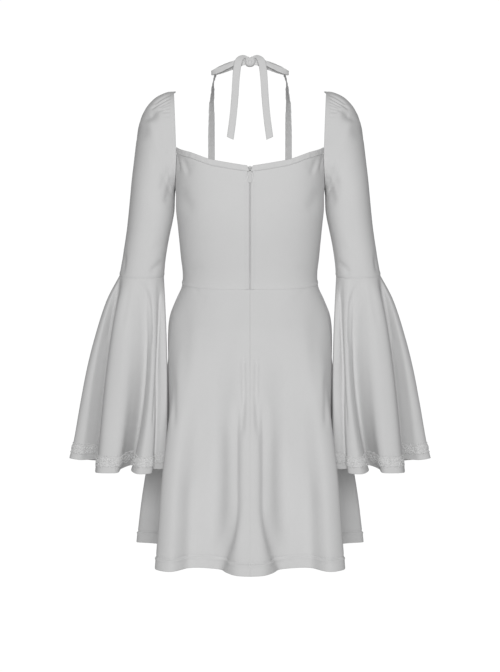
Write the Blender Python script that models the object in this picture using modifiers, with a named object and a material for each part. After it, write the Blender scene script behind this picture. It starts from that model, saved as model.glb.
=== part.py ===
"""A halter dress on a hollow, worn form: square neck, long sleeves with flared bells, flared mini skirt.

Metres, +Z up. The front of the dress faces -Y and the wearer's left is +X. The origin is the
middle of the loop that goes round the neck, at the height of its knot. Every panel is an open
sheet through rings worked out from the tables below, thickened inwards by a Solidify modifier.
"""
import math
from bisect import bisect_right
from collections import namedtuple

import bmesh
import bpy
from mathutils import Vector

# Cloth
WALL = 0.0015
SEAM = 0.0004
BAND_WALL = 0.0020
BAND_PROUD = 0.0004
BAND_HEIGHT = 0.010
CORNER_GAP = 0.0012
ZIP_SLIT = 0.0010
OUTLINE_STEPS = 90
OUTLINE_CROWDING = 1.5

# Torso and skirt: half width, back and front depth of each ring, and how square the ring is
SIDE_Y = -0.010
Ring = namedtuple("Ring", "z half_width back front back_power front_power")
TORSO = [
    Ring(-0.140, 0.1310, 0.0920, -0.0930, 3.2, 4.6),
    Ring(-0.176, 0.1310, 0.0926, -0.0990, 3.2, 4.6),
    Ring(-0.210, 0.1310, 0.0930, -0.1070, 3.1, 4.4),
    Ring(-0.249, 0.1302, 0.0912, -0.1120, 3.0, 4.0),
    Ring(-0.278, 0.1273, 0.0870, -0.1100, 2.9, 3.6),
    Ring(-0.306, 0.1246, 0.0815, -0.1040, 2.8, 3.2),
    Ring(-0.334, 0.1220, 0.0760, -0.0970, 2.7, 2.9),
    Ring(-0.362, 0.1190, 0.0715, -0.0900, 2.6, 2.7),
    Ring(-0.385, 0.1200, 0.0700, -0.0880, 2.6, 2.6),
    Ring(-0.405, 0.1310, 0.0765, -0.0925, 2.5, 2.5),
    Ring(-0.434, 0.1415, 0.0875, -0.0990, 2.5, 2.5),
    Ring(-0.460, 0.1450, 0.0975, -0.1040, 2.6, 2.6),
    Ring(-0.520, 0.1450, 0.1125, -0.1110, 2.8, 2.8),
    Ring(-0.600, 0.1440, 0.1240, -0.1190, 2.9, 2.9),
    Ring(-0.700, 0.1440, 0.1350, -0.1280, 3.0, 3.0),
    Ring(-0.780, 0.1470, 0.1440, -0.1360, 3.0, 3.0),
    Ring(-0.870, 0.1500, 0.1550, -0.1450, 3.0, 3.0),
]
BUST_X = 0.072
BUST_Z = -0.243
BUST_RISE = 0.013
BUST_SPREAD_X = 0.034
BUST_SPREAD_Z = 0.036

# Neckline and waist seam heights
BACK_NECK_MIDDLE = -0.176
FRONT_NECK_MIDDLE = -0.186
NECK_CURVE = 1.2
WAIST_SIDE = -0.379
WAIST_BACK_DIP = 0.009

# Shoulder loop, where each sleeve begins: an upright ring whose lower part is the armhole seam
LOOP_TOP = -0.0435
LOOP_BOTTOM = -0.2106
LOOP_BACK_DEPTH = 0.050
LOOP_FRONT_DEPTH = 0.042
LOOP_LEAN = 4
LOOP_TIP_X = 0.1345
LOOP_POWER = 2.3
CORNER_ANGLE = math.radians(108)
BODICE_STEPS = 6
NECK_COLUMNS = 8
ARMHOLE_STEPS = 5
SHOULDER_STEPS = 7
BODICE_GIRTH_Z = -0.250
NECK_GIRTH_Z = -0.170
SKIRT_GIRTH_Z = -0.450

# Sleeve: outer and inner point, depths and middle of each ring; ease keeps the loop's own plane
Cuff = namedtuple("Cuff", "outer_x outer_z inner_x inner_z back front middle_y tilt ease")
SLEEVE = [
    Cuff(0.1345, -0.0435, 0.1314, -0.2106, 0.0500, 0.0420, -0.010, 0, 1.0),
    Cuff(0.1490, -0.0458, 0.1317, -0.2140, 0.0515, 0.0440, -0.010, 0, 0.6),
    Cuff(0.1630, -0.0500, 0.1320, -0.2170, 0.0525, 0.0460, -0.010, 0, 0.3),
    Cuff(0.1745, -0.0585, 0.1323, -0.2200, 0.0530, 0.0480, -0.010, 0, 0.1),
    Cuff(0.1845, -0.0715, 0.1325, -0.2230, 0.0530, 0.0500, -0.009, 0, 0.0),
    Cuff(0.1922, -0.0870, 0.1327, -0.2262, 0.0525, 0.0515, -0.009, 0, 0.0),
    Cuff(0.1974, -0.1060, 0.1328, -0.2296, 0.0520, 0.0520, -0.009, 0, 0.0),
    Cuff(0.2005, -0.1300, 0.1329, -0.2340, 0.0510, 0.0510, -0.008, 1, 0.0),
    Cuff(0.2043, -0.1620, 0.1330, -0.2420, 0.0500, 0.0500, -0.007, 2, 0.0),
    Cuff(0.2085, -0.1980, 0.1338, -0.2540, 0.0490, 0.0490, -0.005, 3, 0.0),
    Cuff(0.2130, -0.2380, 0.1370, -0.2720, 0.0475, 0.0475, -0.003, 4, 0.0),
    Cuff(0.2185, -0.2820, 0.1430, -0.3000, 0.0455, 0.0455, -0.001, 5, 0.0),
    Cuff(0.2260, -0.3260, 0.1485, -0.3330, 0.0435, 0.0435, 0.001, 5, 0.0),
    Cuff(0.2330, -0.3645, 0.1520, -0.3665, 0.0420, 0.0420, 0.002, 5, 0.0),
]

# Bell: ridges and grooves of its hem, by angle round the arm from the outer side towards the back
Fold = namedtuple("Fold", "angle x y z")
BELL_FOLDS = [
    Fold(0, 0.3215, -0.006, -0.6900),
    Fold(32, 0.2690, 0.014, -0.6960),
    Fold(48, 0.2695, 0.048, -0.7050),
    Fold(66, 0.2500, 0.070, -0.7060),
    Fold(92, 0.2180, 0.023, -0.7020),
    Fold(116, 0.1930, 0.078, -0.7080),
    Fold(132, 0.1735, 0.062, -0.7080),
    Fold(148, 0.1755, 0.026, -0.7030),
    Fold(166, 0.1590, 0.036, -0.7040),
    Fold(188, 0.1458, 0.006, -0.7030),
    Fold(210, 0.1620, -0.018, -0.7020),
    Fold(230, 0.1720, -0.049, -0.7050),
    Fold(252, 0.1960, -0.021, -0.7020),
    Fold(278, 0.2150, -0.068, -0.7060),
    Fold(304, 0.2420, -0.024, -0.7010),
    Fold(328, 0.2740, -0.066, -0.7030),
    Fold(345, 0.2880, -0.032, -0.6980),
]
BELL_STEPS_A_FOLD = 3
BELL_LEVELS = (0.0, 0.07, 0.17, 0.30, 0.45, 0.62, 0.78)
BELL_FLARE = 0.6
TRIM_TOP = 0.0315
TRIM_HEIGHT = 0.022
TRIM_LIFT = 0.0004
TRIM_THICKNESS = 0.0012

# Skirt hem: ridges and grooves from the middle of the back (0) to the middle of the front (1)
Hem = namedtuple("Hem", "round x y z")
SKIRT_FOLDS = [
    Hem(0.000, 0.000, 0.190, -0.863),
    Hem(0.048, 0.027, 0.184, -0.862),
    Hem(0.092, 0.050, 0.161, -0.860),
    Hem(0.140, 0.082, 0.153, -0.857),
    Hem(0.185, 0.115, 0.157, -0.857),
    Hem(0.228, 0.144, 0.167, -0.859),
    Hem(0.265, 0.161, 0.149, -0.858),
    Hem(0.310, 0.149, 0.113, -0.856),
    Hem(0.375, 0.141, 0.060, -0.855),
    Hem(0.440, 0.140, 0.005, -0.855),
    Hem(0.500, 0.142, -0.042, -0.855),
    Hem(0.560, 0.176, -0.078, -0.857),
    Hem(0.615, 0.209, -0.097, -0.858),
    Hem(0.670, 0.186, -0.124, -0.858),
    Hem(0.735, 0.143, -0.131, -0.857),
    Hem(0.795, 0.110, -0.160, -0.859),
    Hem(0.855, 0.076, -0.143, -0.858),
    Hem(0.925, 0.040, -0.166, -0.859),
    Hem(1.000, 0.000, -0.148, -0.858),
]
SKIRT_STEPS_A_FOLD = 2
Swing = namedtuple("Swing", "down weight")
SKIRT_SWING = [
    Swing(0.00, 0.00),
    Swing(0.06, 0.00),
    Swing(0.14, 0.02),
    Swing(0.24, 0.07),
    Swing(0.36, 0.22),
    Swing(0.50, 0.47),
    Swing(0.66, 0.72),
    Swing(0.82, 0.88),
    Swing(1.00, 1.00),
]

# Ties
TIE_THICKNESS = 0.0018
KNOT_SIZE = (0.0170, 0.0135, 0.0158)
KNOT_PLACE = (0, 0.0742, 0.0012)
KNOT_BEVEL = 0.004
Turn = namedtuple("Turn", "x y z face_x face_y face_z width")
STRAP_X = 0.0700
STRAP_LAP = 0.006
STRAP_FACE = (0.12, -1.00, 0.23)
TIE_WIDTH = 0.012
NECK_STRAP = [
    Turn(0.0700, -0.0900, -0.1400, 0.15, -1.00, 0.30, 0.012),
    Turn(0.0695, -0.0760, -0.1000, 0.40, -1.00, 0.60, 0.012),
    Turn(0.0685, -0.0530, -0.0600, 0.80, -0.60, 0.50, 0.012),
    Turn(0.0655, -0.0250, -0.0290, 1.00, -0.25, 0.15, 0.012),
    Turn(0.0600, 0.0080, -0.0090, 1.00, 0.15, 0.00, 0.012),
    Turn(0.0500, 0.0360, -0.0020, 0.80, 0.60, 0.00, 0.012),
    Turn(0.0340, 0.0570, 0.0000, 0.45, 0.90, 0.00, 0.012),
    Turn(0.0190, 0.0670, 0.0000, 0.20, 1.00, 0.00, 0.010),
    Turn(0.0120, 0.0702, 0.0000, 0.00, 1.00, 0.00, 0.008),
    Turn(0.0089, 0.0702, 0.0000, 0.00, 1.00, 0.00, 0.008),
]
BOW_LOOP = [
    Turn(0.0089, 0.0758, 0.0000, 0.00, 1.00, 0.00, 0.008),
    Turn(0.0120, 0.0758, 0.0000, 0.00, 1.00, 0.00, 0.008),
    Turn(0.0200, 0.0800, -0.0008, 0.00, 1.00, 0.10, 0.010),
    Turn(0.0370, 0.0820, -0.0065, 0.10, 1.00, 0.15, 0.012),
    Turn(0.0530, 0.0800, -0.0125, 0.40, 1.00, 0.10, 0.012),
    Turn(0.0635, 0.0750, -0.0162, 1.00, 0.60, 0.00, 0.012),
    Turn(0.0655, 0.0700, -0.0175, 1.00, -0.10, 0.00, 0.012),
    Turn(0.0610, 0.0665, -0.0172, 0.40, -1.00, 0.00, 0.012),
    Turn(0.0500, 0.0665, -0.0142, 0.00, -1.00, 0.00, 0.012),
    Turn(0.0340, 0.0700, -0.0085, 0.00, -1.00, 0.00, 0.011),
    Turn(0.0190, 0.0728, -0.0035, 0.00, -1.00, 0.00, 0.009),
    Turn(0.0120, 0.0730, -0.0000, 0.00, -1.00, 0.00, 0.008),
    Turn(0.0089, 0.0730, -0.0000, 0.00, -1.00, 0.00, 0.008),
]
BOW_TAIL = [
    Turn(0.0089, 0.0786, 0.0030, 0.00, 1.00, 0.00, 0.006),
    Turn(0.0105, 0.0786, 0.0036, 0.00, 1.00, 0.00, 0.008),
    Turn(0.0128, 0.0812, 0.0066, 0.00, 1.00, 0.15, 0.010),
    Turn(0.0163, 0.0845, 0.0076, 0.00, 1.00, 0.20, 0.011),
    Turn(0.0198, 0.0870, 0.0035, 0.00, 1.00, 0.15, 0.012),
    Turn(0.0216, 0.0885, -0.0070, 0.00, 1.00, 0.10, 0.012),
    Turn(0.0234, 0.0890, -0.0300, 0.00, 1.00, 0.02, 0.012),
    Turn(0.0257, 0.0900, -0.0600, 0.00, 1.00, 0.02, 0.012),
    Turn(0.0289, 0.0920, -0.0950, 0.00, 1.00, 0.04, 0.012),
    Turn(0.0336, 0.0950, -0.1305, 0.00, 1.00, 0.06, 0.012),
]
RIBBON_STEP = 0.007
RIBBON_PROBE = 0.0005

# Zip: tape, slider and hanging pull tab; the hinge is the middle of the pull's crossbar
TAPE_WIDTH = 0.024
TAPE_THICKNESS = 0.0008
TAPE_DEPTH = 0.0021
TAPE_TOP = -0.178
TAPE_BOTTOM = -0.400
ZIP_NOTCH = 0.0021
HINGE_Z = -0.1830
HINGE_OUT = 0.0015
SLIDER_HALF_WIDTH = 0.0011
SLIDER_TOP = 0.0060
SLIDER_BOTTOM = -0.0026
SLIDER_TOP_DEPTH = 0.0022
SLIDER_BOTTOM_DEPTH = 0.0016
BRIDGE_RADIUS = 0.0021
BRIDGE_HOLE = 0.0012
PULL_THICKNESS = 0.0012
PULL_CROSSBAR = 0.0006
PULL_EYE_HALF_WIDTH = 0.0014
PULL_EYE_BOTTOM = -0.0034
PULL_SHOULDER = 0.0023
PULL_WAIST_Z = -0.0070
PULL_WAIST = 0.0019
PULL_BOB_RADIUS = 0.0035
PULL_LENGTH = 0.0228

Tone = namedtuple("Tone", "colour roughness metallic")
CLOTH = Tone((0.66, 0.66, 0.66), 0.85, 0.0)
LACE = Tone((0.60, 0.60, 0.60), 0.90, 0.0)
TAPE = Tone((0.55, 0.55, 0.55), 0.80, 0.0)
ENAMEL = Tone((0.62, 0.62, 0.62), 0.45, 0.0)


def empty_the_scene():
    """Remove every object that the file opened with."""
    for thing in list(bpy.data.objects):
        bpy.data.objects.remove(thing, do_unlink=True)


def smooth_curve(keys, values, key):
    """Value at key of a smooth curve through the points; keys rise."""
    last = len(keys) - 2
    i = min(max(bisect_right(keys, key) - 1, 0), last)

    def slope(k):
        low = max(k - 1, 0)
        high = min(k + 1, last + 1)
        return (values[high] - values[low]) / (keys[high] - keys[low])

    span = keys[i + 1] - keys[i]
    t = min(max((key - keys[i]) / span, 0.0), 1.0)
    rise = slope(i) * span
    fall = slope(i + 1) * span
    step = values[i + 1] - values[i]
    return values[i] + t * (rise + t * (3 * step - 2 * rise - fall + t * (rise + fall - 2 * step)))


def table_value(rows, key_name, value_name, key):
    """Smooth value of one named column of a table at a key."""
    keys = [getattr(row, key_name) for row in rows]
    values = [getattr(row, value_name) for row in rows]
    return smooth_curve(keys, values, key)


def power(value, exponent):
    """Signed power, which rounds or squares a ring."""
    return math.copysign(abs(value) ** exponent, value)


def torso_ring(z):
    """The torso's ring at a height, from the table read downwards."""
    depth = -z
    keys = [-ring.z for ring in TORSO]
    columns = [smooth_curve(keys, [getattr(ring, name) for ring in TORSO], depth)
               for name in ("half_width", "back", "front", "back_power", "front_power")]
    return Ring(z, *columns)


def quarter_outline(ring, back):
    """Points of a quarter ring from the middle of the back or front out to the side."""
    reach = (ring.back if back else ring.front) - SIDE_Y
    square = 2 / (ring.back_power if back else ring.front_power)
    points = []
    for i in range(OUTLINE_STEPS + 1):
        turn = math.pi / 2 * (i / OUTLINE_STEPS) ** OUTLINE_CROWDING
        x = ring.half_width * power(math.sin(turn), square)
        y = SIDE_Y + reach * power(math.cos(turn), square)
        points.append((x, y))
    return points


def along(points, share):
    """The point at a share of an outline's length."""
    lengths = [0.0]
    for a, b in zip(points, points[1:]):
        lengths.append(lengths[-1] + math.dist(a, b))
    target = min(max(share, 0.0), 1.0) * lengths[-1]
    i = min(bisect_right(lengths, target) - 1, len(points) - 2)
    t = (target - lengths[i]) / (lengths[i + 1] - lengths[i])
    return tuple(a + t * (b - a) for a, b in zip(points[i], points[i + 1]))


def torso_point(turn, z):
    """Point of the smooth torso: turn is 0 at the middle of the back and 1 at the middle of the front."""
    ring = torso_ring(z)
    if turn <= 0.5:
        x, y = along(quarter_outline(ring, True), turn * 2)
        return Vector((x, y, z))
    x, y = along(quarter_outline(ring, False), (1 - turn) * 2)
    across = math.exp(-((x - BUST_X) / BUST_SPREAD_X) ** 2)
    upright = math.exp(-((z - BUST_Z) / BUST_SPREAD_Z) ** 2)
    return Vector((x, y - BUST_RISE * across * upright, z))


def side_x(y, z):
    """How far out the torso's side wall is at a depth and height."""
    ring = torso_ring(z)
    reach = (ring.back if y > SIDE_Y else ring.front) - SIDE_Y
    square = ring.back_power if y > SIDE_Y else ring.front_power
    share = abs((y - SIDE_Y) / reach) ** square
    return ring.half_width * (1 - share) ** (1 / square)


def loop_yz(angle):
    """Depth and height of the shoulder loop: angle 0 is the top, 90 degrees the back."""
    middle = (LOOP_TOP + LOOP_BOTTOM) / 2
    half = (LOOP_TOP - LOOP_BOTTOM) / 2
    depth = LOOP_BACK_DEPTH if math.sin(angle) > 0 else LOOP_FRONT_DEPTH
    y = SIDE_Y + depth * power(math.sin(angle), 2 / LOOP_POWER)
    z = middle + half * power(math.cos(angle), 2 / LOOP_POWER)
    return y, z


def loop_x(angle):
    """The loop follows the side wall along the armhole and leans out to the shoulder tip above it."""
    bend = abs(math.remainder(angle, 2 * math.pi))
    if bend >= CORNER_ANGLE:
        return side_x(*loop_yz(angle)) + SEAM
    side = math.copysign(CORNER_ANGLE, math.remainder(angle, 2 * math.pi))
    corner = side_x(*loop_yz(side)) + SEAM
    lean = 1 - (bend / CORNER_ANGLE) ** LOOP_LEAN
    return corner + (LOOP_TIP_X - corner) * lean


def turn_at(y, z):
    """The torso turn at which the side wall has a given depth."""
    back = y > SIDE_Y
    points = quarter_outline(torso_ring(z), back)
    total = sum(math.dist(a, b) for a, b in zip(points, points[1:]))
    run = 0.0
    for a, b in zip(points, points[1:]):
        if (a[1] - y) * (b[1] - y) <= 0 and a[1] != b[1]:
            run += math.dist(a, b) * abs((a[1] - y) / (a[1] - b[1]))
            break
        run += math.dist(a, b)
    share = run / total / 2
    return share if back else 1 - share


def waist_z(turn):
    """Height of the waist seam, which dips towards the middle of the back."""
    if turn >= 0.5:
        return WAIST_SIDE
    return WAIST_SIDE - WAIST_BACK_DIP * (1 - (turn * 2) ** 3)


def loop_angles(low, high):
    """Even steps along the armhole between two angles."""
    return [low + (high - low) * i / ARMHOLE_STEPS for i in range(ARMHOLE_STEPS + 1)]


def neck_z(turn, corner_turn, corner_z, middle_turn, middle_z):
    """Height of the neck edge between its middle and the corner at the sleeve."""
    share = abs((turn - middle_turn) / (corner_turn - middle_turn))
    return middle_z + (corner_z - middle_z) * share ** NECK_CURVE


def bodice_columns(back):
    """Turn and top height of each column of a bodice quarter, from the middle to the side."""
    sign = 1 if back else -1
    corner_y, corner_z = loop_yz(sign * CORNER_ANGLE)
    corner_turn = turn_at(corner_y, corner_z)
    middle = 0.0 if back else 1.0
    middle_z = (BACK_NECK_MIDDLE if back else FRONT_NECK_MIDDLE) - BAND_HEIGHT
    columns = []
    for i in range(NECK_COLUMNS):
        turn = middle + (corner_turn - middle) * i / NECK_COLUMNS
        columns.append((turn, neck_z(turn, corner_turn, corner_z, middle, middle_z)))
    for angle in loop_angles(CORNER_ANGLE, math.pi):
        y, z = loop_yz(sign * angle)
        columns.append((turn_at(y, z) if angle < math.pi - 0.01 else 0.5, z))
    return columns


def quarter_length(back, z):
    """Length round a quarter of the torso, which turns a gap in metres into a share of a turn."""
    points = quarter_outline(torso_ring(z), back)
    return sum(math.dist(a, b) for a, b in zip(points, points[1:]))


def eased(turn, back, gap_middle, gap_side):
    """Move a column off the middle seam or the side seam by half of the seam's gap."""
    length = quarter_length(back, BODICE_GIRTH_Z) * 2
    if back:
        return min(max(turn, gap_middle / 2 / length), 0.5 - gap_side / 2 / length)
    return max(turn, 0.5 + gap_side / 2 / length)


def mirrored(rows, side):
    """The rows of a left-hand sheet, or their mirror image for the right."""
    return [[Vector((side * p.x, p.y, p.z)) for p in row] for row in rows]


def material_for(name, tone):
    """A plain Principled material for one piece."""
    material = bpy.data.materials.new(name)
    material.use_nodes = True
    shader = material.node_tree.nodes["Principled BSDF"]
    shader.inputs["Base Color"].default_value = (*tone.colour, 1.0)
    shader.inputs["Roughness"].default_value = tone.roughness
    shader.inputs["Metallic"].default_value = tone.metallic
    return material


def add_mesh(name, mesh, tone, parts):
    """Put a mesh in the dress's collection with its own material."""
    thing = bpy.data.objects.new(name, mesh)
    mesh.materials.append(material_for(name, tone))
    parts.objects.link(thing)
    return thing


def add_sheet(name, rows, tone, parts, wall=WALL, offset=-1.0, closed=False, flip=False):
    """A grid of points from top to bottom, made into a cloth wall."""
    width = len(rows[0])
    points = [p for row in rows for p in row]
    faces = []
    for r in range(len(rows) - 1):
        for c in range(width if closed else width - 1):
            d = (c + 1) % width
            face = (r * width + c, r * width + d, (r + 1) * width + d, (r + 1) * width + c)
            faces.append(face[::-1] if flip else face)
    mesh = bpy.data.meshes.new(name)
    mesh.from_pydata(points, [], faces)
    mesh.shade_smooth()
    thing = add_mesh(name, mesh, tone, parts)
    solidify = thing.modifiers.new("wall", "SOLIDIFY")
    solidify.thickness = wall
    solidify.offset = offset
    return thing


def bodice_rows(columns, levels):
    """Rows of a bodice quarter between each column's top and the waist seam."""
    rows = []
    for level in levels:
        row = []
        for turn, top in columns:
            bottom = waist_z(turn) + SEAM / 2
            row.append(torso_point(turn, top + (bottom - top) * level))
        rows.append(row)
    return rows


def bodice_levels():
    """Shares of the way down the bodice at which its rows lie."""
    return [i / BODICE_STEPS for i in range(BODICE_STEPS + 1)]


def join_rows(left, right):
    """Join two sheets side by side, dropping the column that they share."""
    return [a + b[1:] for a, b in zip(left, right)]


def make_bodice(parts):
    """Two back panels and one front panel."""
    levels = bodice_levels()
    back = [(eased(turn, True, ZIP_SLIT, SEAM), top) for turn, top in bodice_columns(True)]
    for name, side in (("back_bodice_left", 1), ("back_bodice_right", -1)):
        add_sheet(name, mirrored(bodice_rows(back, levels), side), CLOTH, parts, flip=side < 0)
    front = [(eased(turn, False, 0, SEAM), top) for turn, top in bodice_columns(False)]
    rows = bodice_rows(front, levels)
    left = [row[::-1] for row in rows]
    right = mirrored(rows, -1)
    add_sheet("front_bodice", join_rows(left, right), CLOTH, parts)


def band_rows(back, gap_middle, corner_gap):
    """Two rows of a neck band quarter, from the middle to just short of the sleeve."""
    columns = bodice_columns(back)[:NECK_COLUMNS + 1]
    length = quarter_length(back, NECK_GIRTH_Z) * 2
    rows = []
    for rise in (BAND_HEIGHT, SEAM):
        row = []
        for turn, top in columns:
            if back:
                turn = min(max(turn, gap_middle / length), columns[-1][0] - corner_gap / length)
            else:
                turn = max(turn, columns[-1][0] + corner_gap / length)
            row.append(torso_point(turn, top + rise))
        rows.append(row)
    return rows


def make_neck_bands(parts):
    """Narrow bands along the neck edge, a little proud of the panels."""
    offset = 2 * BAND_PROUD / BAND_WALL - 1
    back = band_rows(True, ZIP_NOTCH, CORNER_GAP)
    for name, side in (("back_neck_band_left", 1), ("back_neck_band_right", -1)):
        add_sheet(name, mirrored(back, side), CLOTH, parts, BAND_WALL, offset, flip=side < 0)
    front = band_rows(False, 0, CORNER_GAP)
    left = [row[::-1] for row in front]
    add_sheet("front_neck_band", join_rows(left, mirrored(front, -1)), CLOTH, parts, BAND_WALL, offset)


def sleeve_angles():
    """Angles round the sleeve, which meet the armhole's corners at the shoulder loop."""
    upper = [CORNER_ANGLE * i / SHOULDER_STEPS for i in range(SHOULDER_STEPS)]
    lower = loop_angles(CORNER_ANGLE, math.pi)
    half = upper + lower
    return half + [2 * math.pi - angle for angle in reversed(half[1:-1])]


def sleeve_point(cuff, angle):
    """Point of the left sleeve on one ring: angle 0 is the outer side, 90 degrees the back."""
    outer = Vector((cuff.outer_x, 0, cuff.outer_z))
    inner = Vector((cuff.inner_x, 0, cuff.inner_z))
    middle = (outer + inner) / 2 + Vector((0, cuff.middle_y, 0))
    tilt = math.radians(cuff.tilt)
    depth = Vector((0, math.cos(tilt), -math.sin(tilt)))
    depth *= cuff.back if math.sin(angle) > 0 else cuff.front
    across = (outer - inner) / 2
    point = middle + across * power(math.cos(angle), 2 / LOOP_POWER)
    point += depth * power(math.sin(angle), 2 / LOOP_POWER)
    if cuff.ease > 0:
        first = SLEEVE[0]
        share = (loop_yz(angle)[1] - first.inner_z) / (first.outer_z - first.inner_z)
        flat_x = first.inner_x + (first.outer_x - first.inner_x) * share
        point.x += cuff.ease * (loop_x(angle) - flat_x)
    return point


def make_sleeves(parts):
    """Upper sleeves, open along the shoulder and at the elbow."""
    rows = [[sleeve_point(cuff, angle) for angle in sleeve_angles()] for cuff in SLEEVE]
    for name, side in (("sleeve_left", 1), ("sleeve_right", -1)):
        add_sheet(name, mirrored(rows, side), CLOTH, parts, closed=True, flip=side > 0)


def bell_hem_point(angle):
    """Hem of the bell at an angle in degrees, smooth through its ridges and grooves."""
    last = BELL_FOLDS[-1]._replace(angle=BELL_FOLDS[-1].angle - 360)
    first = BELL_FOLDS[0]._replace(angle=360)
    second = BELL_FOLDS[1]._replace(angle=BELL_FOLDS[1].angle + 360)
    rows = [last, *BELL_FOLDS, first, second]
    return Vector(table_value(rows, "angle", name, angle) for name in ("x", "y", "z"))


def bell_angles():
    """Angles round the bell, with each ridge and groove on a column of its own."""
    stops = [fold.angle for fold in BELL_FOLDS] + [360]
    angles = []
    for a, b in zip(stops, stops[1:]):
        angles += [a + (b - a) * i / BELL_STEPS_A_FOLD for i in range(BELL_STEPS_A_FOLD)]
    return angles


def bell_rows():
    """Rows of the left bell from the elbow seam to the hem, two of them along the trim's edges."""
    drop = SLEEVE[-1].outer_z - BELL_FOLDS[0].z
    levels = [*BELL_LEVELS, 1 - TRIM_TOP / drop, 1 - (TRIM_TOP - TRIM_HEIGHT) / drop, 1.0]
    rows = []
    for level in levels:
        out = level * (1 + BELL_FLARE - BELL_FLARE * level)
        row = []
        for angle in bell_angles():
            top = sleeve_point(SLEEVE[-1], math.radians(angle)) - Vector((0, 0, SEAM))
            hem = bell_hem_point(angle)
            point = top.lerp(hem, out)
            point.z = top.z + (hem.z - top.z) * level
            row.append(point)
        rows.append(row)
    return rows


def grid_normal(rows, r, c):
    """Outward normal of a closed grid at one point, for a grid that turns from +X towards +Y."""
    width = len(rows[r])
    around = rows[r][(c + 1) % width] - rows[r][c - 1]
    down = rows[min(r + 1, len(rows) - 1)][c] - rows[max(r - 1, 0)][c]
    return down.cross(around).normalized()


def make_bells(parts):
    """Flared flounces below the elbow, each with a raised strip of lace above its hem."""
    rows = bell_rows()
    trim = [[rows[r][c] + grid_normal(rows, r, c) * TRIM_LIFT for c in range(len(rows[r]))]
            for r in (len(rows) - 3, len(rows) - 2)]
    for hand, side in (("left", 1), ("right", -1)):
        add_sheet("bell_" + hand, mirrored(rows, side), CLOTH, parts, closed=True, flip=side > 0)
        add_sheet("bell_trim_" + hand, mirrored(trim, side), LACE, parts, TRIM_THICKNESS, 1.0,
                  closed=True, flip=side > 0)


def skirt_point(turn, down):
    """Point of the skirt: smooth at the waist, with folds that swing out towards the hem."""
    hem = Vector(table_value(SKIRT_FOLDS, "round", name, turn) for name in ("x", "y", "z"))
    top = waist_z(turn) - SEAM / 2
    z = top + (hem.z - top) * down
    fold = hem - torso_point(turn, hem.z)
    return torso_point(turn, z) + fold * table_value(SKIRT_SWING, "down", "weight", down)


def skirt_rows(turns):
    """Rows of skirt points from the waist seam to the hem."""
    return [[skirt_point(turn, swing.down) for turn in turns] for swing in SKIRT_SWING]


def make_skirt(parts):
    """Two back panels with a middle seam, and one front panel."""
    stops = [fold.round for fold in SKIRT_FOLDS]
    turns = []
    for a, b in zip(stops, stops[1:]):
        turns += [a + (b - a) * i / SKIRT_STEPS_A_FOLD for i in range(SKIRT_STEPS_A_FOLD)]
    turns.append(1.0)
    length = quarter_length(True, SKIRT_GIRTH_Z) * 2
    middle = SEAM / 2 / length
    back = [middle] + [turn for turn in turns if middle < turn < 0.5] + [0.5 - middle]
    front = [0.5 + middle] + [turn for turn in turns if turn > 0.5]
    rows = skirt_rows(back)
    for name, side in (("skirt_back_left", 1), ("skirt_back_right", -1)):
        add_sheet(name, mirrored(rows, side), CLOTH, parts, flip=side < 0)
    half = skirt_rows(front)
    other = [row[::-1] for row in mirrored(half, -1)]
    add_sheet("skirt_front", join_rows(half, other), CLOTH, parts)


def ribbon_rows(turns):
    """Left and right edges of a flat tie along its table of turns."""
    keys = [0.0]
    for a, b in zip(turns, turns[1:]):
        keys.append(keys[-1] + math.dist(a[:3], b[:3]))
    count = max(len(turns), round(keys[-1] / RIBBON_STEP))

    def read(name, key):
        return smooth_curve(keys, [getattr(turn, name) for turn in turns], key)

    rows = []
    for i in range(count + 1):
        key = keys[-1] * i / count
        before = Vector(read(name, max(key - RIBBON_PROBE, 0)) for name in "xyz")
        after = Vector(read(name, min(key + RIBBON_PROBE, keys[-1])) for name in "xyz")
        middle = Vector(read(name, key) for name in "xyz")
        face = Vector(read(name, key) for name in ("face_x", "face_y", "face_z"))
        edge = (after - before).cross(face).normalized() * read("width", key) / 2
        rows.append([middle - edge, middle + edge])
    return rows


def sewn_strap():
    """The strap's turns, with its sewn end lapped inside the front neck band."""
    upper, lower = band_rows(False, 0, CORNER_GAP)
    i = max(i for i, point in enumerate(upper) if point.x < STRAP_X)
    share = (STRAP_X - upper[i].x) / (upper[i + 1].x - upper[i].x)
    edge = upper[i].lerp(upper[i + 1], share)
    end = edge.lerp(lower[i].lerp(lower[i + 1], share), STRAP_LAP / BAND_HEIGHT)
    inwards = BAND_WALL - BAND_PROUD + 2 * SEAM + TIE_THICKNESS / 2
    lapped = [Turn(STRAP_X, point.y + inwards, point.z, *STRAP_FACE, TIE_WIDTH) for point in (end, edge)]
    return lapped + NECK_STRAP


def make_ties(parts):
    """Straps round the neck, and the bow that ties them at the nape."""
    for hand, side in (("left", 1), ("right", -1)):
        for name, turns in (("halter_strap_", sewn_strap()), ("bow_loop_", BOW_LOOP), ("bow_tail_", BOW_TAIL)):
            rows = mirrored(ribbon_rows(turns), side)
            add_sheet(name + hand, rows, CLOTH, parts, TIE_THICKNESS, 0.0, flip=side < 0)
    mesh = bpy.data.meshes.new("halter_knot")
    cage = bmesh.new()
    bmesh.ops.create_cube(cage, size=1.0)
    bmesh.ops.scale(cage, vec=KNOT_SIZE, verts=cage.verts)
    bmesh.ops.translate(cage, vec=KNOT_PLACE, verts=cage.verts)
    cage.to_mesh(mesh)
    cage.free()
    knot = add_mesh("halter_knot", mesh, CLOTH, parts)
    bevel = knot.modifiers.new("rounded", "BEVEL")
    bevel.width = KNOT_BEVEL
    bevel.segments = 3


def zip_line():
    """Middle of the back as the panels' rows make it: points from the neck to the top of the skirt."""
    bodice = bodice_rows(bodice_columns(True)[:1], bodice_levels())
    return [row[0] for row in bodice + skirt_rows([0.0])[:2]]


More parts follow.
